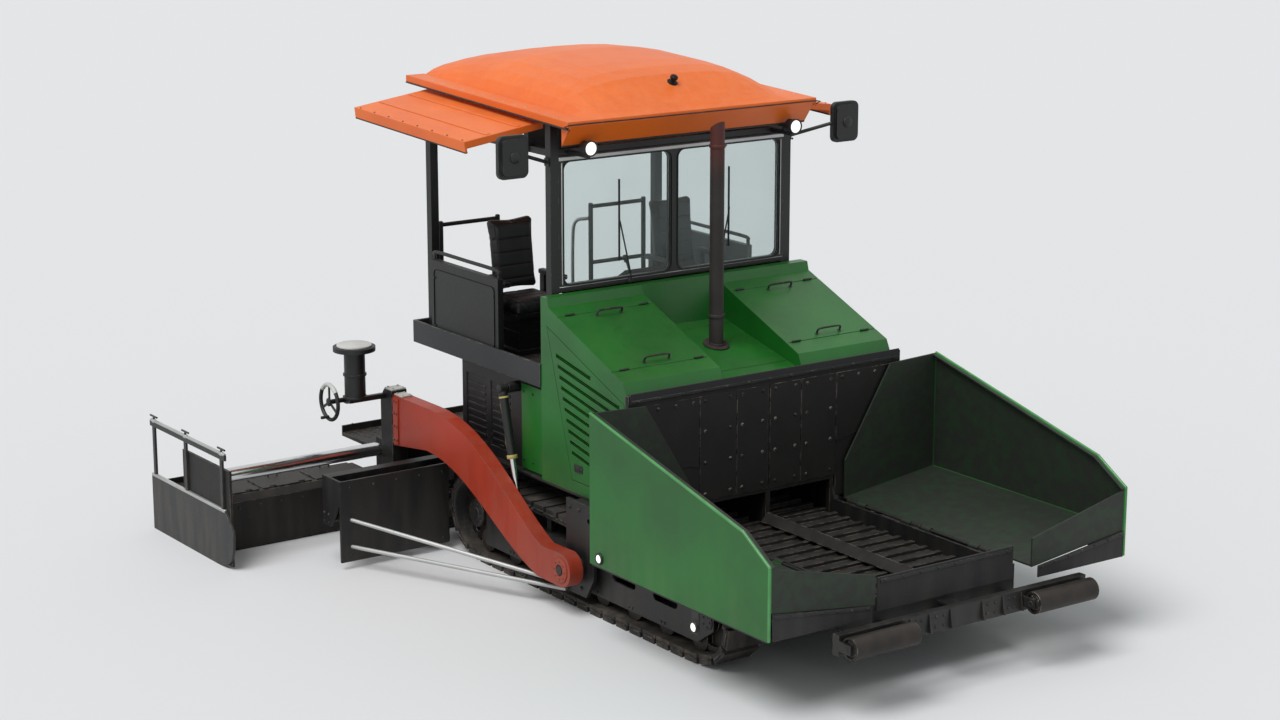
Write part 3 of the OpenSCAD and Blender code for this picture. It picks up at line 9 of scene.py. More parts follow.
import json
import logging
from collections.abc import Iterator, Sequence
from contextlib import contextmanager
from dataclasses import dataclass, field
from enum import Enum
from math import acos, atan, atan2, cos, exp, hypot, pi, radians, sin, sqrt, tan, tau

import bmesh
import bpy
from mathutils import Matrix, Vector

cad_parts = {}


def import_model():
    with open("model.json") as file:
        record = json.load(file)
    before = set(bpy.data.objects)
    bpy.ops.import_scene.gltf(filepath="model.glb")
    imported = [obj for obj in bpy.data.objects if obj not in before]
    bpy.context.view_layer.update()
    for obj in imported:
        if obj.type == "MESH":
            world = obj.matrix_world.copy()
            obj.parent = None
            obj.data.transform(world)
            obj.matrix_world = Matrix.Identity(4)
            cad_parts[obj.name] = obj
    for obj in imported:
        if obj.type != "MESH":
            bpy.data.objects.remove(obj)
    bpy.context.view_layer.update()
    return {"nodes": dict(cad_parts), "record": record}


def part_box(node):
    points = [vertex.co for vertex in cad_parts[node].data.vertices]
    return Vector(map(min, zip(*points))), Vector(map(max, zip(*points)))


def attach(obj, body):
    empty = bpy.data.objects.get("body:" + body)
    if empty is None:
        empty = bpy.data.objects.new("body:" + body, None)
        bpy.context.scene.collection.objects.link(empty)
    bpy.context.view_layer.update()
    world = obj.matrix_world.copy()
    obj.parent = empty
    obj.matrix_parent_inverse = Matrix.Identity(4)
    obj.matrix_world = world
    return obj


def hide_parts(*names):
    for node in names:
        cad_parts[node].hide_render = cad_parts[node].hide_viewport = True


log = logging.getLogger("paver")

IMAGE_W, IMAGE_H = 1280, 720
MM = 0.001
# The middle of the tracks lies this many millimetres ahead of the frame's origin
TRACK_MID_X = 360.0

Place = Sequence[float]
Node, Socket, Tree = bpy.types.Node, bpy.types.NodeSocket, bpy.types.NodeTree
AHEAD, ASIDE, UP = (1, 0, 0), (0, 1, 0), (0, 0, 1)
# Settings of shader nodes that are needed often: a smooth step, and a product held between 0 and 1
STEP = {"interpolation_type": "SMOOTHSTEP"}
PRODUCT = {"operation": "MULTIPLY", "use_clamp": True}
# Where four screws or bolts stand around a middle, in radians
FOUR_ROUND = (0.8, 2.4, 3.9, 5.5)


class Side(Enum):
    """The two sides of the machine, by the sign of Y."""

    RIGHT = -1
    LEFT = 1

    @property
    def word(self) -> str:
        """The side as it stands at the end of a name."""
        return self.name.lower()


def linear(code: str) -> tuple[float, float, float, float]:
    """An sRGB hex colour as linear RGBA.

    Args:
        code: Six hex digits after a hash sign.

    Returns:
        Red, green, blue and an alpha of 1.
    """
    parts = [int(code[i : i + 2], 16) / 255 for i in (1, 3, 5)]
    r, g, b = (c / 12.92 if c <= 0.04045 else ((c + 0.055) / 1.055) ** 2.4 for c in parts)
    return (r, g, b, 1.0)


def cells(size_mm: float) -> float:
    """A pattern's scale from the size of one of its cells in millimetres."""
    return 1 / (size_mm * MM)


def add(tree: Tree, kind: str, inputs: dict | None = None, **settings: object) -> Node:
    """Adds a shader node with its settings, values and links.

    Args:
        tree: The material's or world's node tree.
        kind: The node's type without the ShaderNode prefix.
        inputs: Values, sockets, or nodes whose first output is meant, by input name or index.
        **settings: Attributes of the node itself.

    Returns:
        The new node.
    """
    node = tree.nodes.new("ShaderNode" + kind)
    for name, value in settings.items():
        setattr(node, name, value)
    for key, value in (inputs or {}).items():
        source = value.outputs[0] if isinstance(value, Node) else value
        if isinstance(source, Socket):
            tree.links.new(source, node.inputs[key])
        else:
            node.inputs[key].default_value = source
    return node


def new_tree(name: str) -> tuple[bpy.types.Material, Tree, Socket]:
    """An empty material, its tree and the surface socket of its output.

    Args:
        name: The material's name.

    Returns:
        The material, its node tree and the socket that takes the shader.
    """
    material = bpy.data.materials.new(name)
    material.use_nodes = True
    tree = material.node_tree
    tree.nodes.clear()
    return material, tree, add(tree, "OutputMaterial").inputs["Surface"]


@dataclass(frozen=True)
class Coated:
    """A coat of paint, lacquer or moulded resin over a hard body, with its wear and its dust, which on the orange shell
    is partly a painted highlight on top.
    """

    name: str
    slot: str
    colour: str
    deep: str  # the same coat where it is thicker or older, in patches that drift at random
    roughness: float = 0.35
    chip: str = "#5b5853"  # what shows where an edge is knocked bare
    chips: float = 0.5  # 0 is unworn, 1 is worn along every edge
    # Colour of the dust; on the orange shell it is partly a painted highlight on faces that look up
    dust: str = "#8d857a"
    dust_top: float = 0.35  # share of dust on faces that look up; on the orange shell it is partly a painted highlight
    dust_low: float = 0.5  # share of dust near the ground
    metallic: float = 0.0
    coat: float = 0.0
    ior: float = 1.5
    blotch_mm: float = 600.0  # size of the patches in which the colour drifts
    edge_mm: float = 7.0  # rounding that is drawn on hard edges
    tar: float = 0.0  # share of black asphalt film on faces that look inwards or up, as in the hopper
    burnt_z: float = 0.0  # height above which heat has turned the coat dark red, or 0
    grain_mm: float = 0.0  # size of the pebbles of a moulded grain or a crust, or 0
    grime_mm: float = 90.9  # size of the patches in which edges chip and dust settles
    scuff_mm: float = 11.11  # size of the dull and bright specks of rubbed paint
    streak_mm: tuple = (111.1, 111.1, 714.3)  # size of the runs that splashes leave

    def build(self) -> bpy.types.Material:
        """Makes the material.

        Returns:
            The finished material.
        """
        material, tree, surface = new_tree(self.name)
        coords = add(tree, "TexCoord").outputs
        place, facing = coords["Object"], add(tree, "NewGeometry").outputs["Normal"]
        eased_normal = add(tree, "Bevel", {"Radius": self.edge_mm * MM}, samples=4)
        grime = add(tree, "TexNoise", {"Vector": place, "Scale": cells(self.grime_mm), "Detail": 8.0,
                                       "Roughness": 0.65})
        height = add(tree, "SeparateXYZ", {0: place}).outputs["Z"]
        colour = self.worn(tree, place, facing, eased_normal, grime, height)
        # Dust settles on faces that look up and near the ground; on the orange shell the pale dust on top is partly a
        # painted highlight
        dusty = self.dusty(tree, place, facing, grime, height)
        colour = add(tree, "Mix", {0: dusty, 6: colour, 7: linear(self.dust)}, data_type="RGBA").outputs[2]
        specks = add(tree, "TexNoise", {"Vector": place, "Scale": cells(self.scuff_mm), "Detail": 4.0})
        patchy = add(tree, "MapRange", {0: specks, 1: 0.2, 2: 0.8, 3: self.roughness - 0.06, 4: self.roughness + 0.1})
        rough = add(tree, "Mix", {0: dusty, 2: patchy, 3: 0.85})
        if self.tar:
            film = self.film(tree, place, coords["Normal"], grime)
            colour = add(tree, "Mix", {0: film, 6: colour, 7: linear("#1b1a19")}, data_type="RGBA").outputs[2]
            rough = add(tree, "Mix", {0: film, 2: rough, 3: 0.6})
        bump = add(tree, "Bump", {"Strength": 0.12, "Distance": 0.002, "Height": grime, "Normal": eased_normal})
        if self.grain_mm:
            pebbles = add(tree, "TexVoronoi", {"Vector": place, "Scale": cells(self.grain_mm)}).outputs["Distance"]
            bump = add(tree, "Bump", {"Strength": 0.35, "Distance": 0.12 * self.grain_mm * MM, "Height": pebbles,
                                      "Normal": bump})
        shader = add(tree, "BsdfPrincipled", {"Base Color": colour, "Roughness": rough, "Normal": bump,
                                              "Metallic": self.metallic, "IOR": self.ior,
                                              "Coat Weight": self.coat, "Coat Roughness": 0.12})
        tree.links.new(shader.outputs[0], surface)
        return material

    def worn(self, tree: Tree, place: Socket, facing: Socket, eased_normal: Node, grime: Node,
             height: Socket) -> Socket:
        """The coat's colour, bare along edges, where the rounded normal parts from the true one.

        Args:
            tree: The material's nodes.
            place: Object coordinates.
            facing: The face's true direction.
            eased_normal: Its direction with hard edges rounded.
            grime: Noise that breaks up the bare places.
            height: Height above the ground.

        Returns:
            The colour, still without dust.
        """
        same = add(tree, "VectorMath", {0: facing, 1: eased_normal}, operation="DOT_PRODUCT").outputs["Value"]
        edge = add(tree, "MapRange", {0: same, 1: 0.995, 2: 0.86}, **STEP)
        knock = add(tree, "MapRange", {0: grime, 1: 0.62 - 0.2 * self.chips, 2: 0.75 - 0.2 * self.chips}, **STEP)
        bare = add(tree, "Math", {0: edge, 1: knock}, **PRODUCT)
        blotch = add(tree, "TexNoise", {"Vector": place, "Scale": cells(self.blotch_mm), "Detail": 5.0})
        drift = add(tree, "MapRange", {0: blotch, 1: 0.3, 2: 0.72}, **STEP)
        coat = add(tree, "Mix", {0: drift, 6: linear(self.colour), 7: linear(self.deep)}, data_type="RGBA").outputs[2]
        if self.burnt_z:
            heat = add(tree, "MapRange", {0: height, 1: self.burnt_z, 2: self.burnt_z + 0.35}, **STEP)
            coat = add(tree, "Mix", {0: heat, 6: coat, 7: linear("#4a1f19")}, data_type="RGBA").outputs[2]
        return add(tree, "Mix", {0: bare, 6: coat, 7: linear(self.chip)}, data_type="RGBA").outputs[2]

    def dusty(self, tree: Tree, place: Socket, facing: Socket, grime: Node, height: Socket) -> Node:
        """The share of dust that settles on top and is thrown up from below; on the orange shell the share on top is
        partly a painted highlight.

        Args:
            tree: The material's nodes.
            place: Object coordinates.
            facing: The face's true direction.
            grime: Noise that breaks up the settled dust.
            height: Height above the ground.

        Returns:
            The node of the share, from 0 to 1.
        """
        up = add(tree, "SeparateXYZ", {0: facing}).outputs["Z"]
        level = add(tree, "MapRange", {0: up, 1: 0.25, 2: 0.95}, **STEP)
        most = add(tree, "Math", {0: level, 1: self.dust_top}, **PRODUCT)
        patches = add(tree, "MapRange", {0: grime, 1: 0.25, 2: 0.75}, **STEP)
        settled = add(tree, "Math", {0: most, 1: patches}, **PRODUCT)
        tall = add(tree, "Mapping", {"Vector": place, "Scale": [cells(size) for size in self.streak_mm]})
        streaks = add(tree, "TexNoise", {"Vector": tall, "Scale": 1.0, "Detail": 6.0})
        runs = add(tree, "MapRange", {0: streaks, 1: 0.3, 2: 0.8}, **STEP)
        near = add(tree, "MapRange", {0: height, 1: 1.3, 2: 0.05}, **STEP)
        splash = add(tree, "Math", {0: near, 1: self.dust_low}, **PRODUCT)
        low = add(tree, "Math", {0: splash, 1: runs}, **PRODUCT)
        return add(tree, "Math", {0: settled, 1: low}, operation="MAXIMUM")

    def film(self, tree: Tree, place: Socket, normal: Socket, grime: Node) -> Node:
        """The share of asphalt film that hot mix leaves on the inside of the hopper.

        Args:
            tree: The material's nodes.
            place: Object coordinates.
            normal: The face's direction in object coordinates.
            grime: Noise that breaks up its border.

        Returns:
            The node of the film's share, from 0 to 1.
        """
        across = add(tree, "SeparateXYZ", {0: place}).outputs["Y"]
        looks = add(tree, "SeparateXYZ", {0: normal}).outputs
        side = add(tree, "Math", {0: across}, operation="SIGN")
        away = add(tree, "Math", {0: side, 1: looks["Y"]}, operation="MULTIPLY")
        inward = add(tree, "Math", {0: away, 1: -1.0}, operation="MULTIPLY")
        distance = add(tree, "Math", {0: across}, operation="ABSOLUTE")
        # The rim's narrow top keeps its paint
        inside = add(tree, "MapRange", {0: distance, 1: 1.606, 2: 1.6}, **STEP)
        floor = add(tree, "Math", {0: looks["Z"], 1: inside}, **PRODUCT)
        ahead = add(tree, "Math", {0: looks["X"], 1: inside}, **PRODUCT)
        most = add(tree, "Math", {0: inward, 1: floor}, operation="MAXIMUM")
        most = add(tree, "Math", {0: most, 1: ahead}, operation="MAXIMUM")
        caught = add(tree, "MapRange", {0: most, 1: 0.3, 2: 0.5}, **STEP)
        film = add(tree, "Math", {0: caught, 1: self.tar}, **PRODUCT)
        broken = add(tree, "MapRange", {0: grime, 1: 0.25, 2: 0.6, 3: 0.8, 4: 1.0})
        return add(tree, "Math", {0: film, 1: broken}, **PRODUCT)


@dataclass(frozen=True)
class Glazing:
    """Clear glass with a faint film of dust."""

    name: str
    slot: str = "glass"
    colour: str = "#eef4f3"
    roughness: float = 0.02
    ior: float = 1.5
    film_mm: float = 454.5  # size of the patches of dust

    def build(self) -> bpy.types.Material:
        """Makes the material.

        Returns:
            The finished material.
        """
        material, tree, surface = new_tree(self.name)
        place = add(tree, "TexCoord").outputs["Object"]
        film = add(tree, "TexNoise", {"Vector": place, "Scale": cells(self.film_mm), "Detail": 6.0})
        clear = add(tree, "BsdfTransparent", {"Color": linear(self.colour)})
        gloss = add(tree, "BsdfPrincipled", {"Base Color": linear("#c9d2d0"), "Roughness": self.roughness,
                                             "IOR": self.ior})
        tint = add(tree, "MapRange", {0: film, 1: 0.35, 2: 0.8, 3: 0.01, 4: 0.05})
        fresnel = add(tree, "Fresnel", {"IOR": self.ior})
        share = add(tree, "Math", {0: fresnel, 1: tint}, operation="ADD", use_clamp=True)
        mix = add(tree, "MixShader", {0: share, 1: clear, 2: gloss})
        tree.links.new(mix.outputs[0], surface)
        return material


@dataclass(frozen=True)
class Lit:
    """A ribbed lens that gives light of its own."""

    name: str
    slot: str
    colour: str
    glow: float
    ribs_mm: float = 37.7  # from one rib to the next
    speck_mm: float = 16.67

    def build(self) -> bpy.types.Material:
        """Makes the material.

        Returns:
            The finished material.
        """
        material, tree, surface = new_tree(self.name)
        place = add(tree, "TexCoord").outputs["Object"]
        # At a scale of 1 the waves lie tau / 20 of a metre apart
        ribs = add(tree, "TexWave", {"Vector": place, "Scale": tau / 20 * cells(self.ribs_mm)}, bands_direction="Y")
        specks = add(tree, "TexNoise", {"Vector": place, "Scale": cells(self.speck_mm), "Detail": 3.0})
        share = add(tree, "MapRange", {0: specks, 1: 0.3, 2: 0.8}, **STEP)
        tint = add(tree, "Mix", {0: share, 6: linear(self.colour), 7: linear("#d9d6c8")}, data_type="RGBA").outputs[2]
        bump = add(tree, "Bump", {"Strength": 0.2, "Distance": 0.001, "Height": ribs.outputs["Fac"]})
        rough = add(tree, "MapRange", {0: specks, 1: 0.2, 2: 0.8, 3: 0.08, 4: 0.25})
        shader = add(tree, "BsdfPrincipled", {"Base Color": tint, "Roughness": rough, "Normal": bump, "IOR": 1.5,
                                              "Emission Color": linear(self.colour), "Emission Strength": self.glow})
        tree.links.new(shader.outputs[0], surface)
        return material


class Finish(Enum):
    """The finishes of the machine, each named for what it is and how its surface was made."""

    # Two-pack enamel sprayed on sheet steel: a deep, slightly glossy green that dust dulls on top
    GREEN_ENAMEL = Coated("green_enamel", "green_paint", "#11621a", "#0d5114", 0.34, "#4a5a44", 0.35, "#6f7a55", 0.08,
                          0.25)
    # The same enamel on the hopper, where hot mix has left a black film on all that looks inwards
    HOPPER_ENAMEL = Coated("hopper_enamel", "green_paint", "#11621a", "#0d5114", 0.36, "#4a5a44", 0.5, "#6f7a55", 0.08,
                           0.25, tar=0.97)
    # Enamel along the rim, knocked bare on its edges by loads; its pale green is a painted highlight along the rim
    RUBBED_ENAMEL = Coated("rubbed_enamel", "green_paint", "#3f8f48", "#2c7a38", 0.3, "#9aa596", 1.0, "#9aa28e", 0.2,
                           0.2, coat=0.3, blotch_mm=160)
    # Enamel brushed and sprayed over flame-cut plate: warm red, chipped to primer along its edges
    RED_ENAMEL = Coated("red_enamel", "red_paint", "#a32c0c", "#8c2409", 0.42, "#4d3a33", 0.8, "#8a6a58", 0.2, 0.35)
    # Gelcoat of a hand-laid resin moulding: smooth orange, a little faded by the sun; its pale orange dust on faces
    # that look up is partly a painted highlight
    ORANGE_GELCOAT = Coated("orange_gelcoat", "orange_shell", "#e5690f", "#dc600e", 0.46, "#c99a7c", 0.15, "#f0a070",
                            0.2, 0.0, coat=0.08, edge_mm=14.0)
    # Chassis lacquer sprayed on rolled plate: satin black that shows dust and scuffs
    BLACK_LACQUER = Coated("black_lacquer", "black_paint", "#111213", "#0b0c0d", 0.45, "#5a564f", 0.6, "#524b41", 0.16,
                           0.3)
    # Grey lacquer on chequer plate and sheet, scuffed by boots
    GREY_LACQUER = Coated("grey_lacquer", "grey_paint", "#262829", "#1c1e1f", 0.5, "#7d7a73", 0.9, "#6f685d", 0.26,
                          0.35)
    # Pale grey enamel on small plates and caps, also used for a painted highlight on the hand wheels
    PALE_ENAMEL = Coated("pale_enamel", "grey_paint", "#c9cac6", "#b7b8b3", 0.4, "#77736b", 0.6, "#a39b8d", 0.2, 0.2,
                         blotch_mm=200)
    # Wear plates and castings run bare under hot mix: dark, oiled, rubbed bright in places
    OILED_STEEL = Coated("oiled_steel", "dark_steel", "#332f2c", "#242120", 0.45, "#a09a90", 0.9, "#554c42", 0.3, 0.45,
                         metallic=0.6)
    # Steel under a baked, pebbly film of asphalt, rubbed bright on its edges
    TARRED_STEEL = Coated("tarred_steel", "dark_steel", "#1c1a19", "#131211", 0.55, "#8c857a", 0.9, "#4e473f", 0.3,
                          0.4, metallic=0.3, blotch_mm=250, grain_mm=9)
    # Exhaust pipe in heat-proof black, burnt dark red towards its mouth
    HEATED_STEEL = Coated("heated_steel", "dark_steel", "#2c2826", "#231d1b", 0.6, "#6b4a3a", 0.6, "#5d5047", 0.2, 0.0,
                          metallic=0.2, blotch_mm=220, burnt_z=3.1)
    # Drawn tube and strip, zinc plated: pale grey and dull
    PLATED_TUBE = Coated("plated_tube", "galvanised_steel", "#c2c4c2", "#a6a8a7", 0.35, "#8b7d6a", 0.4, "#9a9488", 0.15,
                         0.2, metallic=0.6)
    # Ground and hard-chromed bar
    CHROMED_BAR = Coated("chromed_bar", "chromed_rod", "#dfe0e0", "#cfd1d2", 0.14, "#d8dadb", 0.0, "#8d857a", 0.1, 0.1,
                         metallic=1.0, edge_mm=2.0)
    # Vulcanised rubber, grey with dust and scuffed dull
    TRACK_RUBBER = Coated("track_rubber", "rubber", "#1c1c1d", "#141415", 0.75, "#2c2b2a", 0.2, "#6b6155", 0.4, 0.55)
    # Rubber sheet and moulded seals, matt
    SKIRT_RUBBER = Coated("skirt_rubber", "rubber", "#202022", "#17171a", 0.7, "#3a3938", 0.3, "#5f574d", 0.2, 0.3)
    # Braided hose in a pale yellow jacket
    YELLOW_HOSE = Coated("yellow_hose", "rubber", "#c2b068", "#a59450", 0.5, "#8a7d4a", 0.2, "#8d857a", 0.1, 0.3,
                         blotch_mm=120)
    # Injection-moulded black plastic with a fine grain
    MOULDED_PLASTIC = Coated("moulded_plastic", "black_paint", "#1d1e20", "#17181a", 0.5, "#333436", 0.2, "#6d665c",
                             0.15, 0.1, ior=1.46, blotch_mm=90, edge_mm=2.0, grain_mm=2.5)
    # Grained black vinyl over foam; the grain is drawn twice as coarse as it is, to show
    SEAT_VINYL = Coated("seat_vinyl", "seat_vinyl", "#202023", "#17171a", 0.5, "#2a2a2a", 0.1, "#5e5850", 0.18, 0.0,
                        blotch_mm=140, edge_mm=3.0, grain_mm=4)
    SAFETY_GLASS = Glazing("safety_glass")
    # Silvered glass
    MIRROR_GLASS = Coated("mirror_glass", "glass", "#dfe4e6", "#d6dcdf", 0.08, "#dfe4e6", 0.0, "#9d9a92", 0.03, 0.0,
                          metallic=1.0, edge_mm=1.0)
    # Moulded clear lens over a bright reflector, lit from within
    LIT_LENS = Lit("lit_lens", "lamp_lens", "#fffdf4", 0.9)
    # Dark display behind glass
    SCREEN_GLASS = Coated("screen_glass", "glass", "#10161a", "#0c1114", 0.08, "#10161a", 0.0, "#8b857a", 0.06, 0.0,
                          edge_mm=1.0)


SLOT_FINISH: dict[str, Finish] = {
    "green_paint": Finish.GREEN_ENAMEL,
    "red_paint": Finish.RED_ENAMEL,
    "orange_shell": Finish.ORANGE_GELCOAT,
    "black_paint": Finish.BLACK_LACQUER,
    "grey_paint": Finish.GREY_LACQUER,
    "dark_steel": Finish.OILED_STEEL,
    "galvanised_steel": Finish.PLATED_TUBE,
    "chromed_rod": Finish.CHROMED_BAR,
    "rubber": Finish.TRACK_RUBBER,
    "seat_vinyl": Finish.SEAT_VINYL,
    "glass": Finish.SAFETY_GLASS,
    "lamp_lens": Finish.MOULDED_PLASTIC,
}
# Nodes whose surface differs from the rest of their slot
NODE_FINISH: dict[str, Finish] = {
    "wing_right": Finish.HOPPER_ENAMEL,
    "wing_left": Finish.HOPPER_ENAMEL,
    "bulkhead": Finish.TARRED_STEEL,
    "conveyor_slats": Finish.TARRED_STEEL,
    "conveyor_ridge": Finish.TARRED_STEEL,
    "auger_right": Finish.TARRED_STEEL,
    "auger_left": Finish.TARRED_STEEL,
    "base_screed": Finish.TARRED_STEEL,
    "extension_right": Finish.TARRED_STEEL,
    "extension_left": Finish.TARRED_STEEL,
    "exhaust_stack": Finish.HEATED_STEEL,
    "front_apron": Finish.SKIRT_RUBBER,
}


@dataclass
class Wardrobe:
    """The materials made so far, one for each finish."""

    made: dict[Finish, bpy.types.Material] = field(default_factory=dict)

    def get(self, finish: Finish) -> bpy.types.Material:
        """The material of a finish, made on first use."""
        if finish not in self.made:
            self.made[finish] = finish.value.build()
        return self.made[finish]

    def dress(self, obj: bpy.types.Object, finish: Finish) -> None:
        """Gives a whole object one finish."""
        obj.data.materials.clear()
        obj.data.materials.append(self.get(finish))


@dataclass
class Studio:
    """Camera, floor and light."""

    # The photograph's camera, from the fit of the machine's own lines
    eye: tuple[float, float, float] = (15.99, -11.73, 6.44)
    fill: float = 0.92  # share of the frame that the machine may take
    floor_half: float = 120.0
    key_strength: float = 2.3
    sky_strength: float = 0.52

    def aim(self, corners: Sequence[Vector]) -> None:
        """Places the camera at the photograph's viewpoint, turned and zoomed onto the machine.

        Args:
            corners: Points that the frame has to hold.
        """
        data = bpy.data.cameras.new("camera")
        camera = bpy.data.objects.new("camera", data)
        bpy.context.scene.collection.objects.link(camera)
        camera.location = self.eye
        eye = Vector(self.eye)
        aim = sum(corners, Vector()) / len(corners)
        for _ in range(6):
            turn = (aim - eye).to_track_quat("-Z", "Y")
            seen = [turn.inverted() @ (c - eye) for c in corners]
            across = [p.x / -p.z for p in seen]
            along = [p.y / -p.z for p in seen]
            middle = Vector(((max(across) + min(across)) / 2, (max(along) + min(along)) / 2, -1.0))
            aim = eye + turn @ (middle * (aim - eye).length)
        half = max((max(across) - min(across)) / 2, (max(along) - min(along)) / 2 * IMAGE_W / IMAGE_H)
        data.sensor_width = 36.0
        data.lens = data.sensor_width / 2 / half * self.fill
        data.clip_end = 1000.0
        camera.rotation_mode = "QUATERNION"
        camera.rotation_quaternion = (aim - eye).to_track_quat("-Z", "Y")
        bpy.context.scene.camera = camera
        log.info("camera lens %.1f mm", data.lens)

    def light(self) -> None:
        """A broad key light from high on the machine's right rear, and a pale sky all round."""
        sun = bpy.data.lights.new("key", "SUN")
        sun.energy = self.key_strength
        sun.angle = radians(35)
        key = bpy.data.objects.new("key", sun)
        bpy.context.scene.collection.objects.link(key)
        key.rotation_mode = "QUATERNION"
        key.rotation_quaternion = Vector((0.15, -0.55, 0.95)).to_track_quat("Z", "Y")
        world = bpy.data.worlds.new("sky")
        bpy.context.scene.world = world
        world.use_nodes = True
        tree = world.node_tree
        tree.nodes.clear()
        path = add(tree, "LightPath").outputs
        seen = add(tree, "Math", {0: path["Is Camera Ray"], 1: path["Is Glossy Ray"]}, operation="MAXIMUM").outputs[0]
        seen = add(tree, "Math", {0: seen, 1: path["Is Transmission Ray"]}, operation="MAXIMUM").outputs[0]
        fill = add(tree, "Background", {"Color": linear("#f2f4f6"), "Strength": self.sky_strength})
        backdrop = add(tree, "Background", {"Color": linear("#e9eaeb"), "Strength": 1.0})
        mix = add(tree, "MixShader", {0: seen, 1: fill.outputs[0], 2: backdrop.outputs[0]})
        add(tree, "OutputWorld", {"Surface": mix.outputs[0]})

    def floor(self) -> None:
        """A plain pale floor that keeps the machine's shadow."""
        bm = bmesh.new()
        bmesh.ops.create_grid(bm, x_segments=1, y_segments=1, size=self.floor_half)
        obj = new_object("floor", bm)
        material, tree, surface = new_tree("pale_floor")
        shader = add(tree, "BsdfPrincipled", {"Base Color": linear("#d9dadb"), "Roughness": 0.9})
        tree.links.new(shader.outputs[0], surface)
        obj.data.materials.append(material)


def new_object(name: str, bm: bmesh.types.BMesh) -> bpy.types.Object:
    """Turns a bmesh into a linked object at the origin.

    Args:
        name: The object's name.
        bm: The mesh, which is freed.

    Returns:
        The new object.
    """
    mesh = bpy.data.meshes.new(name)
    bm.to_mesh(mesh)
    bm.free()
    obj = bpy.data.objects.new(name, mesh)
    bpy.context.scene.collection.objects.link(obj)
    return obj


def aimed(foot: Place, axis: Place) -> Matrix:
    """The place of a part that is modelled at the origin and stands up along +Z.

    Args:
        foot: Where its origin goes.
        axis: Where its +Z goes.

    Returns:
        The matrix that puts it there.
    """
    return Matrix.Translation(Vector(foot)) @ Vector(axis).to_track_quat("Z", "Y").to_matrix().to_4x4()


def soften(part: bmesh.types.BMesh, edges: Sequence[bmesh.types.BMEdge], offset: float, segments: int = 1) -> None:
    """Bevels edges.

    Args:
        part: The mesh.
        edges: The edges to round.
        offset: Width of the rounding.
        segments: Number of faces across it.
    """
    bmesh.ops.bevel(part, geom=list(edges), offset=offset, offset_type="OFFSET", segments=segments, profile=0.5,
                    affect="EDGES", material=-1, clamp_overlap=True)


def rounded(u: Place, v: Place, r: float, steps: int = 5) -> list[tuple[float, float]]:
    """The outline of a rectangle with round corners.

    Args:
        u: Low and high end across.
        v: Low and high end up.
        r: Radius of the corners.
        steps: Number of straight pieces in a corner.

    Returns:
        Its points, anticlockwise.
    """
    corners = [(u[1] - r, v[0] + r, -90), (u[1] - r, v[1] - r, 0), (u[0] + r, v[1] - r, 90), (u[0] + r, v[0] + r, 180)]
    return [(cu + r * cos(radians(a + 90 * k / steps)), cv + r * sin(radians(a + 90 * k / steps)))
            for cu, cv, a in corners for k in range(steps + 1)]


def around(middle: Place, r: float, angles: Sequence[float], axis: str = "Y") -> list[list[float]]:
    """Points around a circle.

    Args:
        middle: Its middle.
        r: Its radius.
        angles: Where the points stand on it, in radians.
        axis: The axis that it is square to.

    Returns:
        The points.
    """
    first, second, _ = Workpiece.ORDER[axis]
    points = [list(middle) for _ in angles]
    for point, a in zip(points, angles):
        point[first] += r * cos(a)
        point[second] += r * sin(a)
    return points


def eased(points: Sequence[Place], steps: int = 5) -> list[Vector]:
    """A smooth line through points.

    Args:
        points: The points that it passes.
        steps: Number of pieces between two of them.

    Returns:
        Points along the line.
    """
    p = [Vector(q) for q in points]
    p = [2 * p[0] - p[1], *p, 2 * p[-1] - p[-2]]
    line = []
    for a, b, c, d in zip(p, p[1:], p[2:], p[3:]):
        for k in range(steps):
            t = k / steps
            line.append(0.5 * (2 * b + (c - a) * t + (2 * a - 5 * b + 4 * c - d) * t**2
                               + (3 * b - a - 3 * c + d) * t**3))
    return [*line, p[-2]]


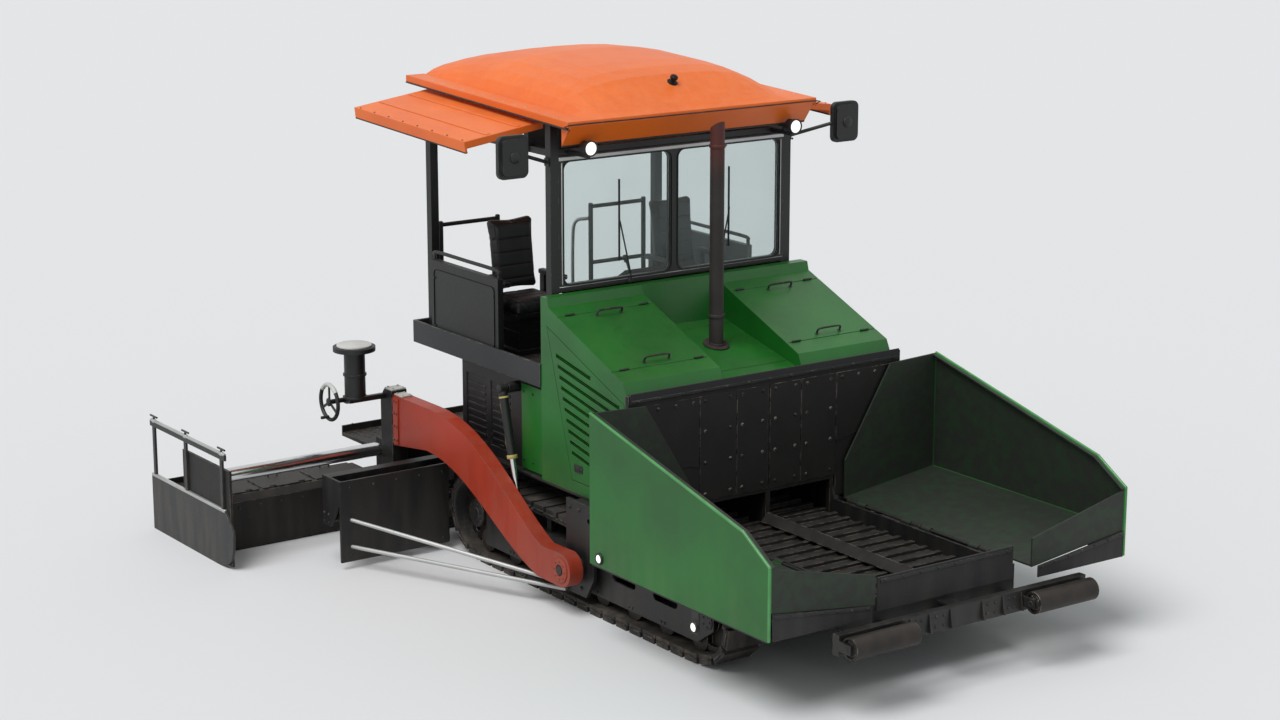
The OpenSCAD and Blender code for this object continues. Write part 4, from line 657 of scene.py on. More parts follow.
class Workpiece:
    """A mesh in the making, in millimetres of the CAD source, shaped by bmesh operators."""

    # Component of the two outline values and of the thickness, by the axis that a slab is extruded along
    ORDER = {"X": (1, 2, 0), "Y": (0, 2, 1), "Z": (0, 1, 2)}

    def __init__(self) -> None:
        """Starts with nothing."""
        self.bm = bmesh.new()

    def weld(self, part: bmesh.types.BMesh, *places: Matrix) -> None:
        """Adds a part, once at each place.

        Args:
            part: A closed mesh, which is freed.
            *places: Where it goes, or as it stands if none is given.
        """
        bmesh.ops.recalc_face_normals(part, faces=part.faces)
        mesh = bpy.data.meshes.new("part")
        part.to_mesh(mesh)
        part.free()
        for place in places or (Matrix(),):
            copy = mesh.copy()
            copy.transform(place)
            self.bm.from_mesh(copy)
            bpy.data.meshes.remove(copy)
        bpy.data.meshes.remove(mesh)

    def block(self, low: Place, high: Place, edge: float = 3.0, places: Sequence[Matrix] = (),
              segments: int = 1) -> None:
        """Adds a box with eased edges.

        Args:
            low: Its lowest corner.
            high: Its highest corner.
            edge: Width of the eased edges.
            places: Where copies of it go.
            segments: Number of faces across an eased edge.
        """
        part = bmesh.new()
        size = Vector(high) - Vector(low)
        bmesh.ops.create_cube(part, size=1.0)
        bmesh.ops.scale(part, vec=size, verts=part.verts)
        bmesh.ops.translate(part, vec=Vector(low) + size / 2, verts=part.verts)
        soften(part, part.edges, edge, segments)
        self.weld(part, *places)

    def rod(self, a: Place, b: Place, r: float, sides: int = 16, edge: float = 0.0,
            places: Sequence[Matrix] = ()) -> None:
        """Adds a round or many-sided bar from one point to another.

        Args:
            a: Middle of one end.
            b: Middle of the other end.
            r: Its radius.
            sides: Number of sides.
            edge: Width of the eased rims.
            places: Where copies of it go.
        """
        part = bmesh.new()
        start, end = Vector(a), Vector(b)
        bmesh.ops.create_cone(part, cap_ends=True, segments=sides, radius1=r, radius2=r,
                              depth=(end - start).length, matrix=aimed((start + end) / 2, end - start))
        if edge:
            soften(part, [e for e in part.edges if any(len(f.verts) > 4 for f in e.link_faces)], edge, 2)
        self.weld(part, *places)

    def turned(self, foot: Place, axis: Place, profile: Sequence[tuple[float, float]], steps: int = 24,
               places: Sequence[Matrix] = ()) -> None:
        """Adds a shape turned on a lathe.

        Args:
            foot: Where the axis starts.
            axis: Its direction.
            profile: Pairs of height along the axis and radius, closed on itself or on the axis.
            steps: Number of steps around.
            places: Where copies of it go.
        """
        part = bmesh.new()
        chain = [part.verts.new((r, 0, h)) for h, r in profile]
        edges = [part.edges.new(pair) for pair in zip(chain, chain[1:])]
        bmesh.ops.spin(part, geom=[*chain, *edges], cent=(0, 0, 0), axis=UP, angle=tau, steps=steps, use_merge=True)
        bmesh.ops.remove_doubles(part, verts=part.verts, dist=0.01)
        bmesh.ops.transform(part, matrix=aimed(foot, axis), verts=part.verts)
        self.weld(part, *places)

    def slab(self, outline: Sequence[tuple[float, float]], low: float, high: float, axis: str = "Y",
             edge: float = 0.0, rim: float = 0.0, places: Sequence[Matrix] = ()) -> None:
        """Adds a plate of any outline, or a frame that follows the outline.

        Args:
            outline: Its corners, in the plane across the axis.
            low: Where it starts along the axis.
            high: Where it ends.
            axis: The axis that it is extruded along.
            edge: Width of the eased edges.
            rim: Width of the frame, or 0 for a whole plate.
            places: Where copies of it go.
        """
        part = bmesh.new()
        first, second, across = self.ORDER[axis]
        corners = []
        for u, v in outline:
            corner = Vector()
            corner[first], corner[second], corner[across] = u, v, low
            corners.append(part.verts.new(corner))
        face = part.faces.new(corners)
        if rim:
            bmesh.ops.inset_individual(part, faces=[face], thickness=rim, use_even_offset=True)
            bmesh.ops.delete(part, geom=[face], context="FACES_ONLY")
        made = bmesh.ops.extrude_face_region(part, geom=part.faces[:])["geom"]
        lift = Vector()
        lift[across] = high - low
        bmesh.ops.translate(part, vec=lift, verts=[g for g in made if isinstance(g, bmesh.types.BMVert)])
        if edge:
            bmesh.ops.recalc_face_normals(part, faces=part.faces)
            soften(part, part.edges, edge)
        self.weld(part, *places)

    def hose(self, points: Sequence[Place], r: float, sides: int = 8, steps: int = 5) -> None:
        """Adds a tube along a smooth line.

        Args:
            points: The points that the line passes.
            r: Radius of the tube.
            sides: Number of sides.
            steps: Number of rings between two points.
        """
        line = eased(points, steps)
        part = bmesh.new()
        bmesh.ops.create_circle(part, cap_ends=True, radius=r, segments=sides)
        ways = [(b - a).normalized() for a, b in zip(line, line[1:])]
        ways = [ways[0], *[(a + b).normalized() for a, b in zip(ways, ways[1:])], ways[-1]]
        turn = ways[0].to_track_quat("Z", "Y")
        place = Matrix.Translation(line[0]) @ turn.to_matrix().to_4x4()
        bmesh.ops.transform(part, matrix=place, verts=part.verts)
        face = part.faces[:][0]
        for here, way, last in zip(line[1:], ways[1:], ways):
            turn = last.rotation_difference(way) @ turn
            following = Matrix.Translation(here) @ turn.to_matrix().to_4x4()
            made = bmesh.ops.extrude_face_region(part, geom=[face])["geom"]
            face = next(g for g in made if isinstance(g, bmesh.types.BMFace))
            bmesh.ops.transform(part, matrix=following @ place.inverted(), verts=face.verts)
            place = following
        self.weld(part)

    def bolts(self, feet: Sequence[Place], axis: Place, size: float) -> None:
        """Adds hexagon bolt heads on their washers.

        Args:
            feet: Where they sit.
            axis: Where they point.
            size: Half the width of a head.
        """
        part = bmesh.new()
        for sides, r, low, high in ((10, 1.45, -0.1, 0.25), (6, 1.1, 0.2, 0.95)):
            bmesh.ops.create_cone(part, cap_ends=True, segments=sides, radius1=r * size, radius2=r * size,
                                  depth=(high - low) * size, matrix=Matrix.Translation((0, 0, (high + low) / 2 * size)))
        self.weld(part, *[aimed(foot, axis) for foot in feet])

    def tread(self, x: Place, y: Place, z: float, pitch: float = 62.0) -> None:
        """Adds the raised lozenges of chequer plate on a level floor.

        Args:
            x: Low and high end along X.
            y: Low and high end along Y.
            z: Top of the floor.
            pitch: Distance between two rows.
        """
        rows = int((x[1] - x[0]) // pitch)
        columns = int((y[1] - y[0]) // pitch)
        for odd in (0, 1):
            part = bmesh.new()
            for k in range(columns):
                turn = Matrix.Rotation(radians(45 if (k + odd) % 2 else -45), 4, "Z")
                bmesh.ops.create_cone(
                    part, cap_ends=True, segments=4, radius1=20, radius2=13, depth=3.5,
                    matrix=Matrix.Translation((0, y[0] + (k + 0.5) * pitch, z + 1.2)) @ turn
                    @ Matrix.Diagonal((1, 0.32, 1, 1)))
            self.weld(part, *[Matrix.Translation((x[0] + (k + 0.5) * pitch, 0, 0)) for k in range(odd, rows, 2)])

    def both_sides(self) -> None:
        """Adds the mirror image of all that is there on the other side of the machine."""
        made = bmesh.ops.duplicate(self.bm, geom=[*self.bm.verts, *self.bm.edges, *self.bm.faces])["geom"]
        self.flip([g for g in made if isinstance(g, bmesh.types.BMVert)],
                  [g for g in made if isinstance(g, bmesh.types.BMFace)])

    def flip(self, verts: Sequence[bmesh.types.BMVert], faces: Sequence[bmesh.types.BMFace]) -> None:
        """Mirrors a share of the mesh across the middle of the machine."""
        bmesh.ops.scale(self.bm, vec=(1, -1, 1), verts=verts)
        bmesh.ops.reverse_faces(self.bm, faces=faces)

    def finished(self, name: str, side: Side | None = None) -> bpy.types.Object:
        """Turns the workpiece into an object of the frame.

        Args:
            name: The object's name.
            side: The side that it belongs to, where it was modelled on the left, or None.

        Returns:
            The object, at the origin and with its place in its mesh.
        """
        if side is Side.RIGHT:
            self.flip(self.bm.verts[:], self.bm.faces[:])
        bmesh.ops.translate(self.bm, vec=(TRACK_MID_X, 0, 0), verts=self.bm.verts)
        bmesh.ops.scale(self.bm, vec=(MM, MM, MM), verts=self.bm.verts)
        obj = new_object(name, self.bm)
        obj.data.shade_smooth()
        obj.data.set_sharp_from_angle(angle=radians(38))
        return obj


@dataclass
class SubAssembly:
    """What every sub-assembly shares: the finishes, and the way in which a piece joins the machine."""

    wardrobe: Wardrobe

    @contextmanager
    def piece(self, name: str, finish: Finish, body: str = "tractor", side: Side | None = None,
              mirror: bool = False) -> Iterator[Workpiece]:
        """Opens a workpiece, and makes it a dressed piece on its body when its with block ends.

        Args:
            name: The piece's name, which gets the side's word where there is a side.
            finish: Its surface.
            body: The body that carries it, named in the same way.
            side: The side that it belongs to, or None.
            mirror: Whether it stands on both sides and is modelled on the left.

        Yields:
            The workpiece.
        """
        work = Workpiece()
        yield work
        if mirror:
            work.both_sides()
        if side:
            name, body = f"{name}_{side.word}", f"{body}_{side.word}"
        obj = work.finished(name, side)
        self.wardrobe.dress(obj, finish)
        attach(obj, body)
        log.info("%s on %s: %d faces", name, body, len(obj.data.polygons))

    def build(self) -> None:
        """Builds the sub-assembly's pieces."""
        raise NotImplementedError


@dataclass
class Tracks(SubAssembly):
    """Steel shoe plates, chain pins, final drives and axle caps of both tracks."""

    # Wheels inside the chain: place along X, height and radius
    wheels: tuple = ((-1415, 165.3, 90), (1415, 165.3, 90), (1545, 335, 230), (-1545, 365, 255))
    shoes: int = 46
    band: float = 30.3  # from the wheels to the outside of the chain
    mid_y: float = 1115.0
    half_w: float = 152.5
    shoe_half_l: float = 60.0
    rollers: int = 8
    roller_span: float = 2830.0
    roller_z: float = 178.0
    cap_y: float = 1224.0  # outer face of the final drive

    def runs(self) -> Iterator[tuple[float, float, float, float, float]]:
        """The chain's path around each wheel.

        Yields:
            Place and height of the wheel, radius of the chain's outside, angle where the arc starts, and where it ends.
        """
        def tangent(a: Place, b: Place) -> float:
            """Angle of the outward normal of the straight run from wheel a to wheel b."""
            dx, dz = b[0] - a[0], b[1] - a[1]
            return atan2(dz, dx) - acos((a[2] - b[2]) / hypot(dx, dz))

        count = len(self.wheels)
        for k, (x, z, r) in enumerate(self.wheels):
            start = tangent(self.wheels[k - 1], self.wheels[k])
            end = tangent(self.wheels[k], self.wheels[(k + 1) % count])
            yield x, z, r + self.band, start, start + (end - start) % tau

    def stations(self, shift: float) -> list[Matrix]:
        """The place of every shoe, with +Z pointing out of the loop and X along it.

        Args:
            shift: Share of a pitch that the places are moved on by.

        Returns:
            One matrix for each shoe, on the outside of the chain.
        """
        runs = list(self.runs())
        pieces = []
        for k, (x, z, r, start, end) in enumerate(runs):
            pieces.append((r * (end - start), x, z, r, start, 1 / r))
            nx, nz, nr = runs[(k + 1) % len(runs)][:3]
            pieces.append((sqrt(hypot(nx - x, nz - z) ** 2 - (nr - r) ** 2), x, z, r, end, 0.0))
        pitch = sum(piece[0] for piece in pieces) / self.shoes
        places = []
        for k in range(self.shoes):
            s = (k + shift) * pitch
            for length, x, z, r, angle, curve in pieces:
                if s <= length:
                    break
                s -= length
            a = angle + s * curve
            along = 0.0 if curve else s
            way, out = Vector((-sin(a), 0, cos(a))), Vector((cos(a), 0, sin(a)))
            foot = Vector((x, self.mid_y, z)) + out * r + way * along
            places.append(Matrix.Translation(foot) @ Matrix((way, (0, -1, 0), out)).transposed().to_4x4())
        return places

    def build(self) -> None:
        """Builds the plates with their pins, and the caps on the outer side."""
        with self.piece("shoe_plates", Finish.OILED_STEEL, mirror=True) as work:
            reach = self.half_w + 8
            work.block((-self.shoe_half_l, -reach, -1), (self.shoe_half_l, reach, 11), 2.0, self.stations(0.5))
            work.rod((0, -reach, -14), (0, reach, -14), 12, 8, places=self.stations(0.0))
        with self.piece("track_drive_caps", Finish.BLACK_LACQUER, mirror=True) as work:
            (front_x, front_z, _), (rear_x, rear_z, _) = self.wheels[2:]
            work.turned((rear_x, self.cap_y, rear_z), ASIDE,
                        [(-4, 0), (-4, 104), (3, 104), (9, 92), (12, 60), (20, 54), (22, 0)], 36)
            tenths = [tau * k / 10 for k in range(10)]
            work.bolts(around((rear_x, self.cap_y + 9, rear_z), 80, tenths), ASIDE, 7)
            y = self.cap_y + 10
            work.turned((front_x, y, front_z), ASIDE, [(-2, 0), (-2, 62), (6, 62), (10, 52), (10, 20), (6, 0)])
            work.bolts(around((front_x, y + 9, front_z), 40, tenths[::2]), ASIDE, 7)
            gap = self.roller_span / (self.rollers - 1)
            work.bolts([(-self.roller_span / 2 + k * gap + s * 22, y, self.roller_z)
                        for k in range(1, self.rollers - 1) for s in (-1, 1)], ASIDE, 8)


@dataclass
class Hopper(SubAssembly):
    """Rims, rubber flaps and side lights of the wings, wear plates of the bulkhead, and the front apron's clamp."""

    wall_y: float = 1632.0
    rim: tuple = ((2744, 610), (2744, 1120), (2454, 1294), (665, 1717))
    lights: tuple = ((1933, 486), (790, 672))
    bulkhead_x: float = 640.0
    apron_x: float = 2653.0

    def wing(self, side: Side) -> None:
        """Trims one wing.

        Args:
            side: Left or right.
        """
        wall, front, rear = self.wall_y, self.rim[0][0], self.rim[3][0]
        # The rim's pale green is a painted highlight
        with self.piece("wing_rim", Finish.RUBBED_ENAMEL, "wing", side) as work:
            for (x0, z0), (x1, z1) in zip(self.rim, self.rim[1:]):
                work.rod((x0, wall - 9, z0), (x1, wall - 9, z1), 11, 10)
            for x, z in self.rim[1:3]:
                work.turned((x, wall - 9, z - 11), UP, [(0, 0), (2, 8), (11, 11), (20, 8), (22, 0)], 10)
        with self.piece("wing_flap", Finish.SKIRT_RUBBER, "wing", side) as work:
            work.slab([(770, 606), (1600, 606), (1608, 800), (1200, 745), (770, 692)], front + 1, front + 10, "X", 2)
            work.slab([(rear + 20, 596), (front - 9, 596), (front - 9, 612), (rear + 20, 612)], wall - 16, wall - 2,
                      "Y", 2)
        with self.piece("wing_light_rings", Finish.BLACK_LACQUER, "wing", side) as work:
            work.slab([(775, 668), (1604, 768), (1604, 794), (775, 694)], front + 9, front + 16, "X", 2)
            work.bolts([(front + 16, 800 + 130 * k, 684 + 15.7 * k) for k in range(7)], AHEAD, 8)
            x, z = self.lights[0]
            work.block((x - 40, wall - 18, z - 50), (x + 40, wall - 4, 640), 3)
            for x, z in self.lights:
                work.turned((x, wall - 5, z), ASIDE, [(0, 0), (0, 44), (14, 44), (20, 38), (20, 32), (8, 30), (8, 0)])
        with self.piece("wing_lights", Finish.LIT_LENS, "wing", side) as work:
            for x, z in self.lights:
                work.turned((x, wall + 2, z), ASIDE, [(0, 0), (0, 31), (8, 30), (14, 22), (17, 10), (18, 0)])

    def build(self) -> None:
        """Builds both wings' trim, the wear plates and the clamps."""
        for side in Side:
            self.wing(side)
        face, apron = self.bulkhead_x, self.apron_x
        with self.piece("bulkhead_wear_plates", Finish.TARRED_STEEL, mirror=True) as work:
            for y0, y1 in ((8, 300), (306, 640)):
                work.block((face, y0, 890), (face + 6, y1, 1690), 1.5)
            work.bolts([(face + 6, y, z) for y in (60, 250, 360, 590) for z in (940, 1180, 1420, 1650)], AHEAD, 9)
            work.slab([(646, 1150), (1236, 1290), (1236, 1690), (646, 1690)], face, face + 6, "X", 1.5)
            work.bolts([(face + 6, y, 1650) for y in (700, 860, 1020, 1180)], AHEAD, 9)
        with self.piece("bulkhead_lip", Finish.SKIRT_RUBBER) as work:
            work.block((face - 2, -1262, 1716), (face + 8, 1262, 1796), 3)
        with self.piece("rubber_clamps", Finish.BLACK_LACQUER) as work:
            work.block((apron, -600, 800), (apron + 8, 600, 828), 2)
            work.bolts([(apron + 8, y, 814) for y in range(-560, 561, 160)], AHEAD, 9)
            work.block((face + 7, -1250, 1722), (face + 12, 1250, 1746), 2)
            work.bolts([(face + 12, y, 1734) for y in range(-1200, 1201, 200)], AHEAD, 8)


@dataclass
class PushRollers(SubAssembly):
    """Gussets and bolts of the push beam, and the turned ends of its rollers."""

    x: float = 2950.0
    z: float = 515.0
    ends: tuple = (545.0, 1105.0)
    beam_x: float = 2862.0  # front face of the beam

    def build(self) -> None:
        """Builds the beam's trim and both rollers' ends."""
        with self.piece("beam_gussets", Finish.BLACK_LACQUER, "push_beam", mirror=True) as work:
            for y in (140, 330, 500):
                work.slab([(self.beam_x, 450), (self.beam_x + 34, 450), (self.beam_x + 10, 580), (self.beam_x, 580)],
                          y, y + 12, "Y", 1)
            work.bolts([(self.beam_x + 2, y, z) for y in (200, 270, 400, 450) for z in (480, 550)], AHEAD, 9)
        for side in Side:
            with self.piece("roller_ends", Finish.OILED_STEEL, "push_roller", side) as work:
                for y, way in ((self.ends[0] + 12, -1), (self.ends[1] - 12, 1)):
                    work.turned((self.x, y - way * 2, self.z), (0, way, 0),
                                [(0, 0), (0, 56), (5, 54), (6, 44), (10, 38), (10, 22), (4, 22), (4, 0)])
                    work.bolts(around((self.x, y + way * 3, self.z), 46, (0.5, 2.07, 3.64, 5.21)), (0, way, 0), 4)


@dataclass
class Hood(SubAssembly):
    """Louvre blades, a black sheet behind them that is painted shade, latches and hinges of the side doors, and the
    fittings on the hood.
    """

    skin_y: float = 1240.0
    door_low: tuple = (-150.0, 970.0)
    door_high: tuple = (-480.0, 2090.0)
    door_front_x: float = 540.0
    door_front_z: float = 1690.0
    louvres: int = 10
    louvre_z: float = 1170.0
    louvre_pitch: float = 78.0
    louvre_h: float = 34.0
    slope: float = tan(radians(11))
    nose: tuple = (520.0, 1850.0)  # front top edge of a nose: place along X and height
    nose_fall: float = 380 / 970

    def rear_x(self, z: float) -> float:
        """Place of the door's rear edge at a height."""
        share = (z - self.door_low[1]) / (self.door_high[1] - self.door_low[1])
        return self.door_low[0] + share * (self.door_high[0] - self.door_low[0])

    def slots(self) -> Iterator[tuple[float, float, float, float]]:
        """The ends of the louvre slots that the CAD door has.

        Yields:
            Place and lower edge of the rear end, then of the front end.
        """
        (ax, az), bx, bz = self.door_high, self.door_front_x, self.door_front_z
        fall = (az - bz) / (bx - ax)
        for k in range(self.louvres):
            z = self.louvre_z + k * self.louvre_pitch
            rear = self.rear_x(z) + 60
            limit = (az + fall * ax - (z + self.louvre_h + 45) - rear * self.slope) / (fall - self.slope)
            front = min(bx - 50, limit)
            if front > rear + 80:
                yield rear, z, front, z - (front - rear) * self.slope

    def door(self, side: Side) -> None:
        """Fits out one side door.

        Args:
            side: Left or right.
        """
        with self.piece("louvres", Finish.GREEN_ENAMEL, "side_door", side) as work:
            for x0, z0, x1, z1 in self.slots():
                middle = Vector(((x0 + x1) / 2, self.skin_y - 11, (z0 + z1 + self.louvre_h) / 2))
                half = hypot(x1 - x0, z1 - z0) / 2 - 2
                for step in (-9, 9):
                    place = (Matrix.Translation(middle) @ Matrix.Rotation(atan(self.slope), 4, "Y")
                             @ Matrix.Translation((0, 0, step)) @ Matrix.Rotation(radians(42), 4, "X"))
                    work.block((-half, -12, -1.2), (half, 12, 1.2), 0.8, [place])
                # Pressed lip around the slot
                work.rod((x0, self.skin_y, z0 + self.louvre_h), (x1, self.skin_y, z1 + self.louvre_h), 4.5, 8)
        with self.piece("door_latches", Finish.BLACK_LACQUER, "side_door", side) as work:
            # A black sheet behind the louvre slots is painted shade inside the hood
            work.slab([(-110, 1000), (505, 1000), (505, 1670), (-425, 2040)], self.skin_y - 34, self.skin_y - 30,
                      edge=1)
            for x in (-60, 440):
                work.slab(rounded((x - 55, x + 55), (1045, 1105), 10), self.skin_y - 2, self.skin_y + 5, "Y", 1.5)
                work.block((x - 40, self.skin_y + 3, 1058), (x + 20, self.skin_y + 11, 1092), 3, segments=2)
                work.rod((x + 36, self.skin_y + 3, 1075), (x + 36, self.skin_y + 9, 1075), 9, 12, 1.5)

    def on_nose(self, x: float, y: float, rise: float) -> tuple[float, float, float]:
        """A point over the sloping top of a nose, at a height above its skin."""
        fall, across = self.nose_fall, hypot(1, self.nose_fall)
        return (x + rise * fall / across, y, self.nose[1] + (self.nose[0] - x) * fall + rise / across)

    def build(self) -> None:
        """Builds the doors' fittings and the handles, hinges and seals on the hood."""
        for side in Side:
            self.door(side)
        with self.piece("hood_handles", Finish.BLACK_LACQUER, mirror=True) as work:
            for x in (330, -280):
                work.hose([self.on_nose(x, y, rise) for y, rise in ((700, -4), (700, 34), (730, 48), (890, 48),
                                                                    (920, 34), (920, -4))], 8)
                for y in (700, 920):
                    work.turned(self.on_nose(x, y, -1), (0.365, 0, 0.931), [(0, 0), (0, 17), (4, 15), (5, 0)], 14)
            for y in (460, 1130):
                for x in (380, -330):
                    work.rod(self.on_nose(x, y - 40, 7), self.on_nose(x, y + 40, 7), 8, 10, 1)
            work.block((-573, -1040, 2297), (-560, 1040, 2312), 3)


@dataclass
class Exhaust(SubAssembly):
    """Clamp and foot flange of the stack."""

    x: float = -20.0
    r: float = 55.0
    foot_z: float = 1868.0
    valley_fall: float = 0.232  # of the hood's valley, on which the flange lies

    def build(self) -> None:
        """Builds the flange and the clamps."""
        up = (0.2256, 0, 0.974)
        with self.piece("stack_clamps", Finish.HEATED_STEEL) as work:
            work.turned((self.x, 0, self.foot_z), up,
                        [(0, 60), (0, 104), (8, 104), (9, 66), (26, 62), (26, 58), (0, 60)])
            for x, y, z in around((self.x, 0, self.foot_z + 8), 88, [tau * (k + 0.5) / 6 for k in range(6)], "Z"):
                work.bolts([(x, y, z - (x - self.x) * self.valley_fall)], up, 7)
            for z in (2080, 3380):
                work.turned((self.x, 0, z), UP, [(h, self.r + out) for h, out in (
                    (0, -1), (0, 5), (4, 7), (24, 7), (28, 5), (28, -1), (0, -1))])
                work.block((self.x - 26, self.r + 2, z + 4), (self.x - 10, self.r + 26, z + 24), 2)
                work.block((self.x - 6, self.r + 2, z + 4), (self.x + 10, self.r + 26, z + 24), 2)
                work.bolts([(self.x + 10, self.r + 17, z + 14)], AHEAD, 5)


@dataclass
class RearBody(SubAssembly):
    """Vents, latches and pin caps on the machine's rear sides."""

    skin_y: float = 1180.0
    panels: tuple = (-1740.0, -1380.0)

    def build(self) -> None:
        """Builds the vents and the pins' caps."""
        with self.piece("body_vents", Finish.BLACK_LACQUER, mirror=True) as work:
            for x in self.panels:
                for k in range(8):
                    work.block((x + 24, self.skin_y - 12, 1000 + 56 * k), (x + 276, self.skin_y - 1, 1024 + 56 * k), 2)
                work.slab(rounded((x + 118, x + 182), (972, 990), 5), self.skin_y - 10, self.skin_y + 3, "Y", 1)
            for z in (960, 1500):
                work.bolts([(x, 1200, z) for x in (-870, -740, -600)], ASIDE, 7)
            work.turned((-970, 1359, 1520), ASIDE, [(-4, 0), (-4, 30), (4, 30), (8, 22), (8, 0)])
            work.bolts([(-60, 1320, 800), (60, 1320, 800), (200, 1320, 800), (-60, 1320, 200), (90, 1320, 200)],
                       ASIDE, 12)


@dataclass
class Platform(SubAssembly):
    """Chequer tread of the deck and steps, grab handles and the guard boxes' trim."""

    deck_z: float = 1640.0
    deck_x: tuple = (-2400.0, -600.0)
    deck_half_w: float = 1200.0
    step_z: tuple = (1105.0, 1280.0, 1455.0)
    box_x: tuple = (-2180.0, -1180.0)
    box_y: tuple = (1178.0, 1228.0)
    grab_y: float = 372.0

    def build(self) -> None:
        """Builds the tread, the handles and the boxes' trim."""
        with self.piece("deck_tread", Finish.GREY_LACQUER) as work:
            work.tread(self.deck_x, (-self.deck_half_w, self.deck_half_w), self.deck_z)
            for z in self.step_z:
                work.tread((-2598, -2455), (-325, 325), z, 46)
        with self.piece("grab_handles", Finish.PLATED_TUBE, mirror=True) as work:
            work.hose([(-2436, self.grab_y, 1560), (-2520, self.grab_y, 1600), (-2540, self.grab_y, 1760),
                       (-2540, self.grab_y, 2200), (-2500, self.grab_y, 2400), (-2404, 440, 2440)], 15, 12)
        with self.piece("guard_trim", Finish.BLACK_LACQUER, mirror=True) as work:
            (x0, x1), (y0, y1) = self.box_x, self.box_y
            middle = (y0 + y1) / 2
            work.hose([(x, middle, z) for x, z in ((x0 + 20, 2300), (x0 + 20, 2350), (x0 + 60, 2382), (x0 + 500, 2384),
                                                   (x1 - 60, 2382), (x1 - 20, 2350), (x1 - 20, 2300))], 15, 12)
            work.slab(rounded((x0 + 50, x1 - 50), (1720, 2250), 40), y1 - 2, y1 + 6, "Y", 2, rim=22)
            work.bolts([(x, y1 + 5, z) for x in (x0 + 61, x1 - 61) for z in (1790, 2180)], ASIDE, 6)
            for y in (460, 1000):
                work.turned((-2398, y, self.deck_z - 1), UP, [(0, 0), (0, 46), (8, 46), (10, 26), (26, 22), (26, 0)])
                work.turned((-2398, y, 2552), UP, [(0, 0), (0, 20), (10, 20), (16, 14), (18, 0)])


@dataclass
class Console(SubAssembly):
    """Screen, keys, dials and levers on the sloping face of the operator's console."""

    low: tuple = (-1020.0, 2200.0)
    high: tuple = (-760.0, 2360.0)

    def build(self) -> None:
        """Builds the fittings on the console's face."""
        rise = Vector((self.high[0] - self.low[0], 0, self.high[1] - self.low[1]))
        way, out = rise.normalized(), Vector((-rise.z, 0, rise.x)).normalized()
        face = (Matrix.Translation(((self.low[0] + self.high[0]) / 2, 0, (self.low[1] + self.high[1]) / 2))
                @ Matrix(((0, -1, 0), way, out)).transposed().to_4x4())
        with self.piece("console_controls", Finish.MOULDED_PLASTIC) as work:
            work.slab(rounded((-110, 110), (-70, 85), 16), -1, 16, "Z", 3, rim=15, places=[face])
            for x in (-210, 210):
                work.slab(rounded((x - 75, x + 75), (-110, 105), 14), -1, 6, "Z", 1.5, places=[face])
                work.turned((0, 0, 0), UP, [(5, 0), (5, 30), (12, 29), (20, 22), (28, 16), (36, 9), (100, 8),
                                            (104, 18), (150, 20), (158, 14), (160, 0)],
                            20, [face @ Matrix.Translation((x, 40, 0))])
            for k in range(8):
                work.turned((0, 0, 0), UP, [(5, 0), (5, 10), (11, 9), (12, 0)], 12,
                            [face @ Matrix.Translation((s * (165 + 30 * (k % 4)), -90 + 32 * (k // 4), 0))
                             for s in (-1, 1)])
            for x in (-45, 0, 45):
                work.turned((0, 0, 0), UP, [(0, 0), (0, 16), (3, 16), (4, 12), (18, 11), (20, 9), (20, 0)], 18,
                            [face @ Matrix.Translation((x, -105, 0))])
        with self.piece("console_screen", Finish.SCREEN_GLASS) as work:
            work.slab(rounded((-98, 98), (-58, 73), 6), 2, 9, "Z", 1, places=[face])
        with self.piece("console_fixings", Finish.BLACK_LACQUER) as work:
            for x in (-960, -500, 500, 960):
                work.bolts([(-730, x, 2060)], UP, 7)
            work.hose([(-730, -600, 2036), (-790, -560, 1980), (-800, -300, 1900), (-792, -122, 1840)], 14)


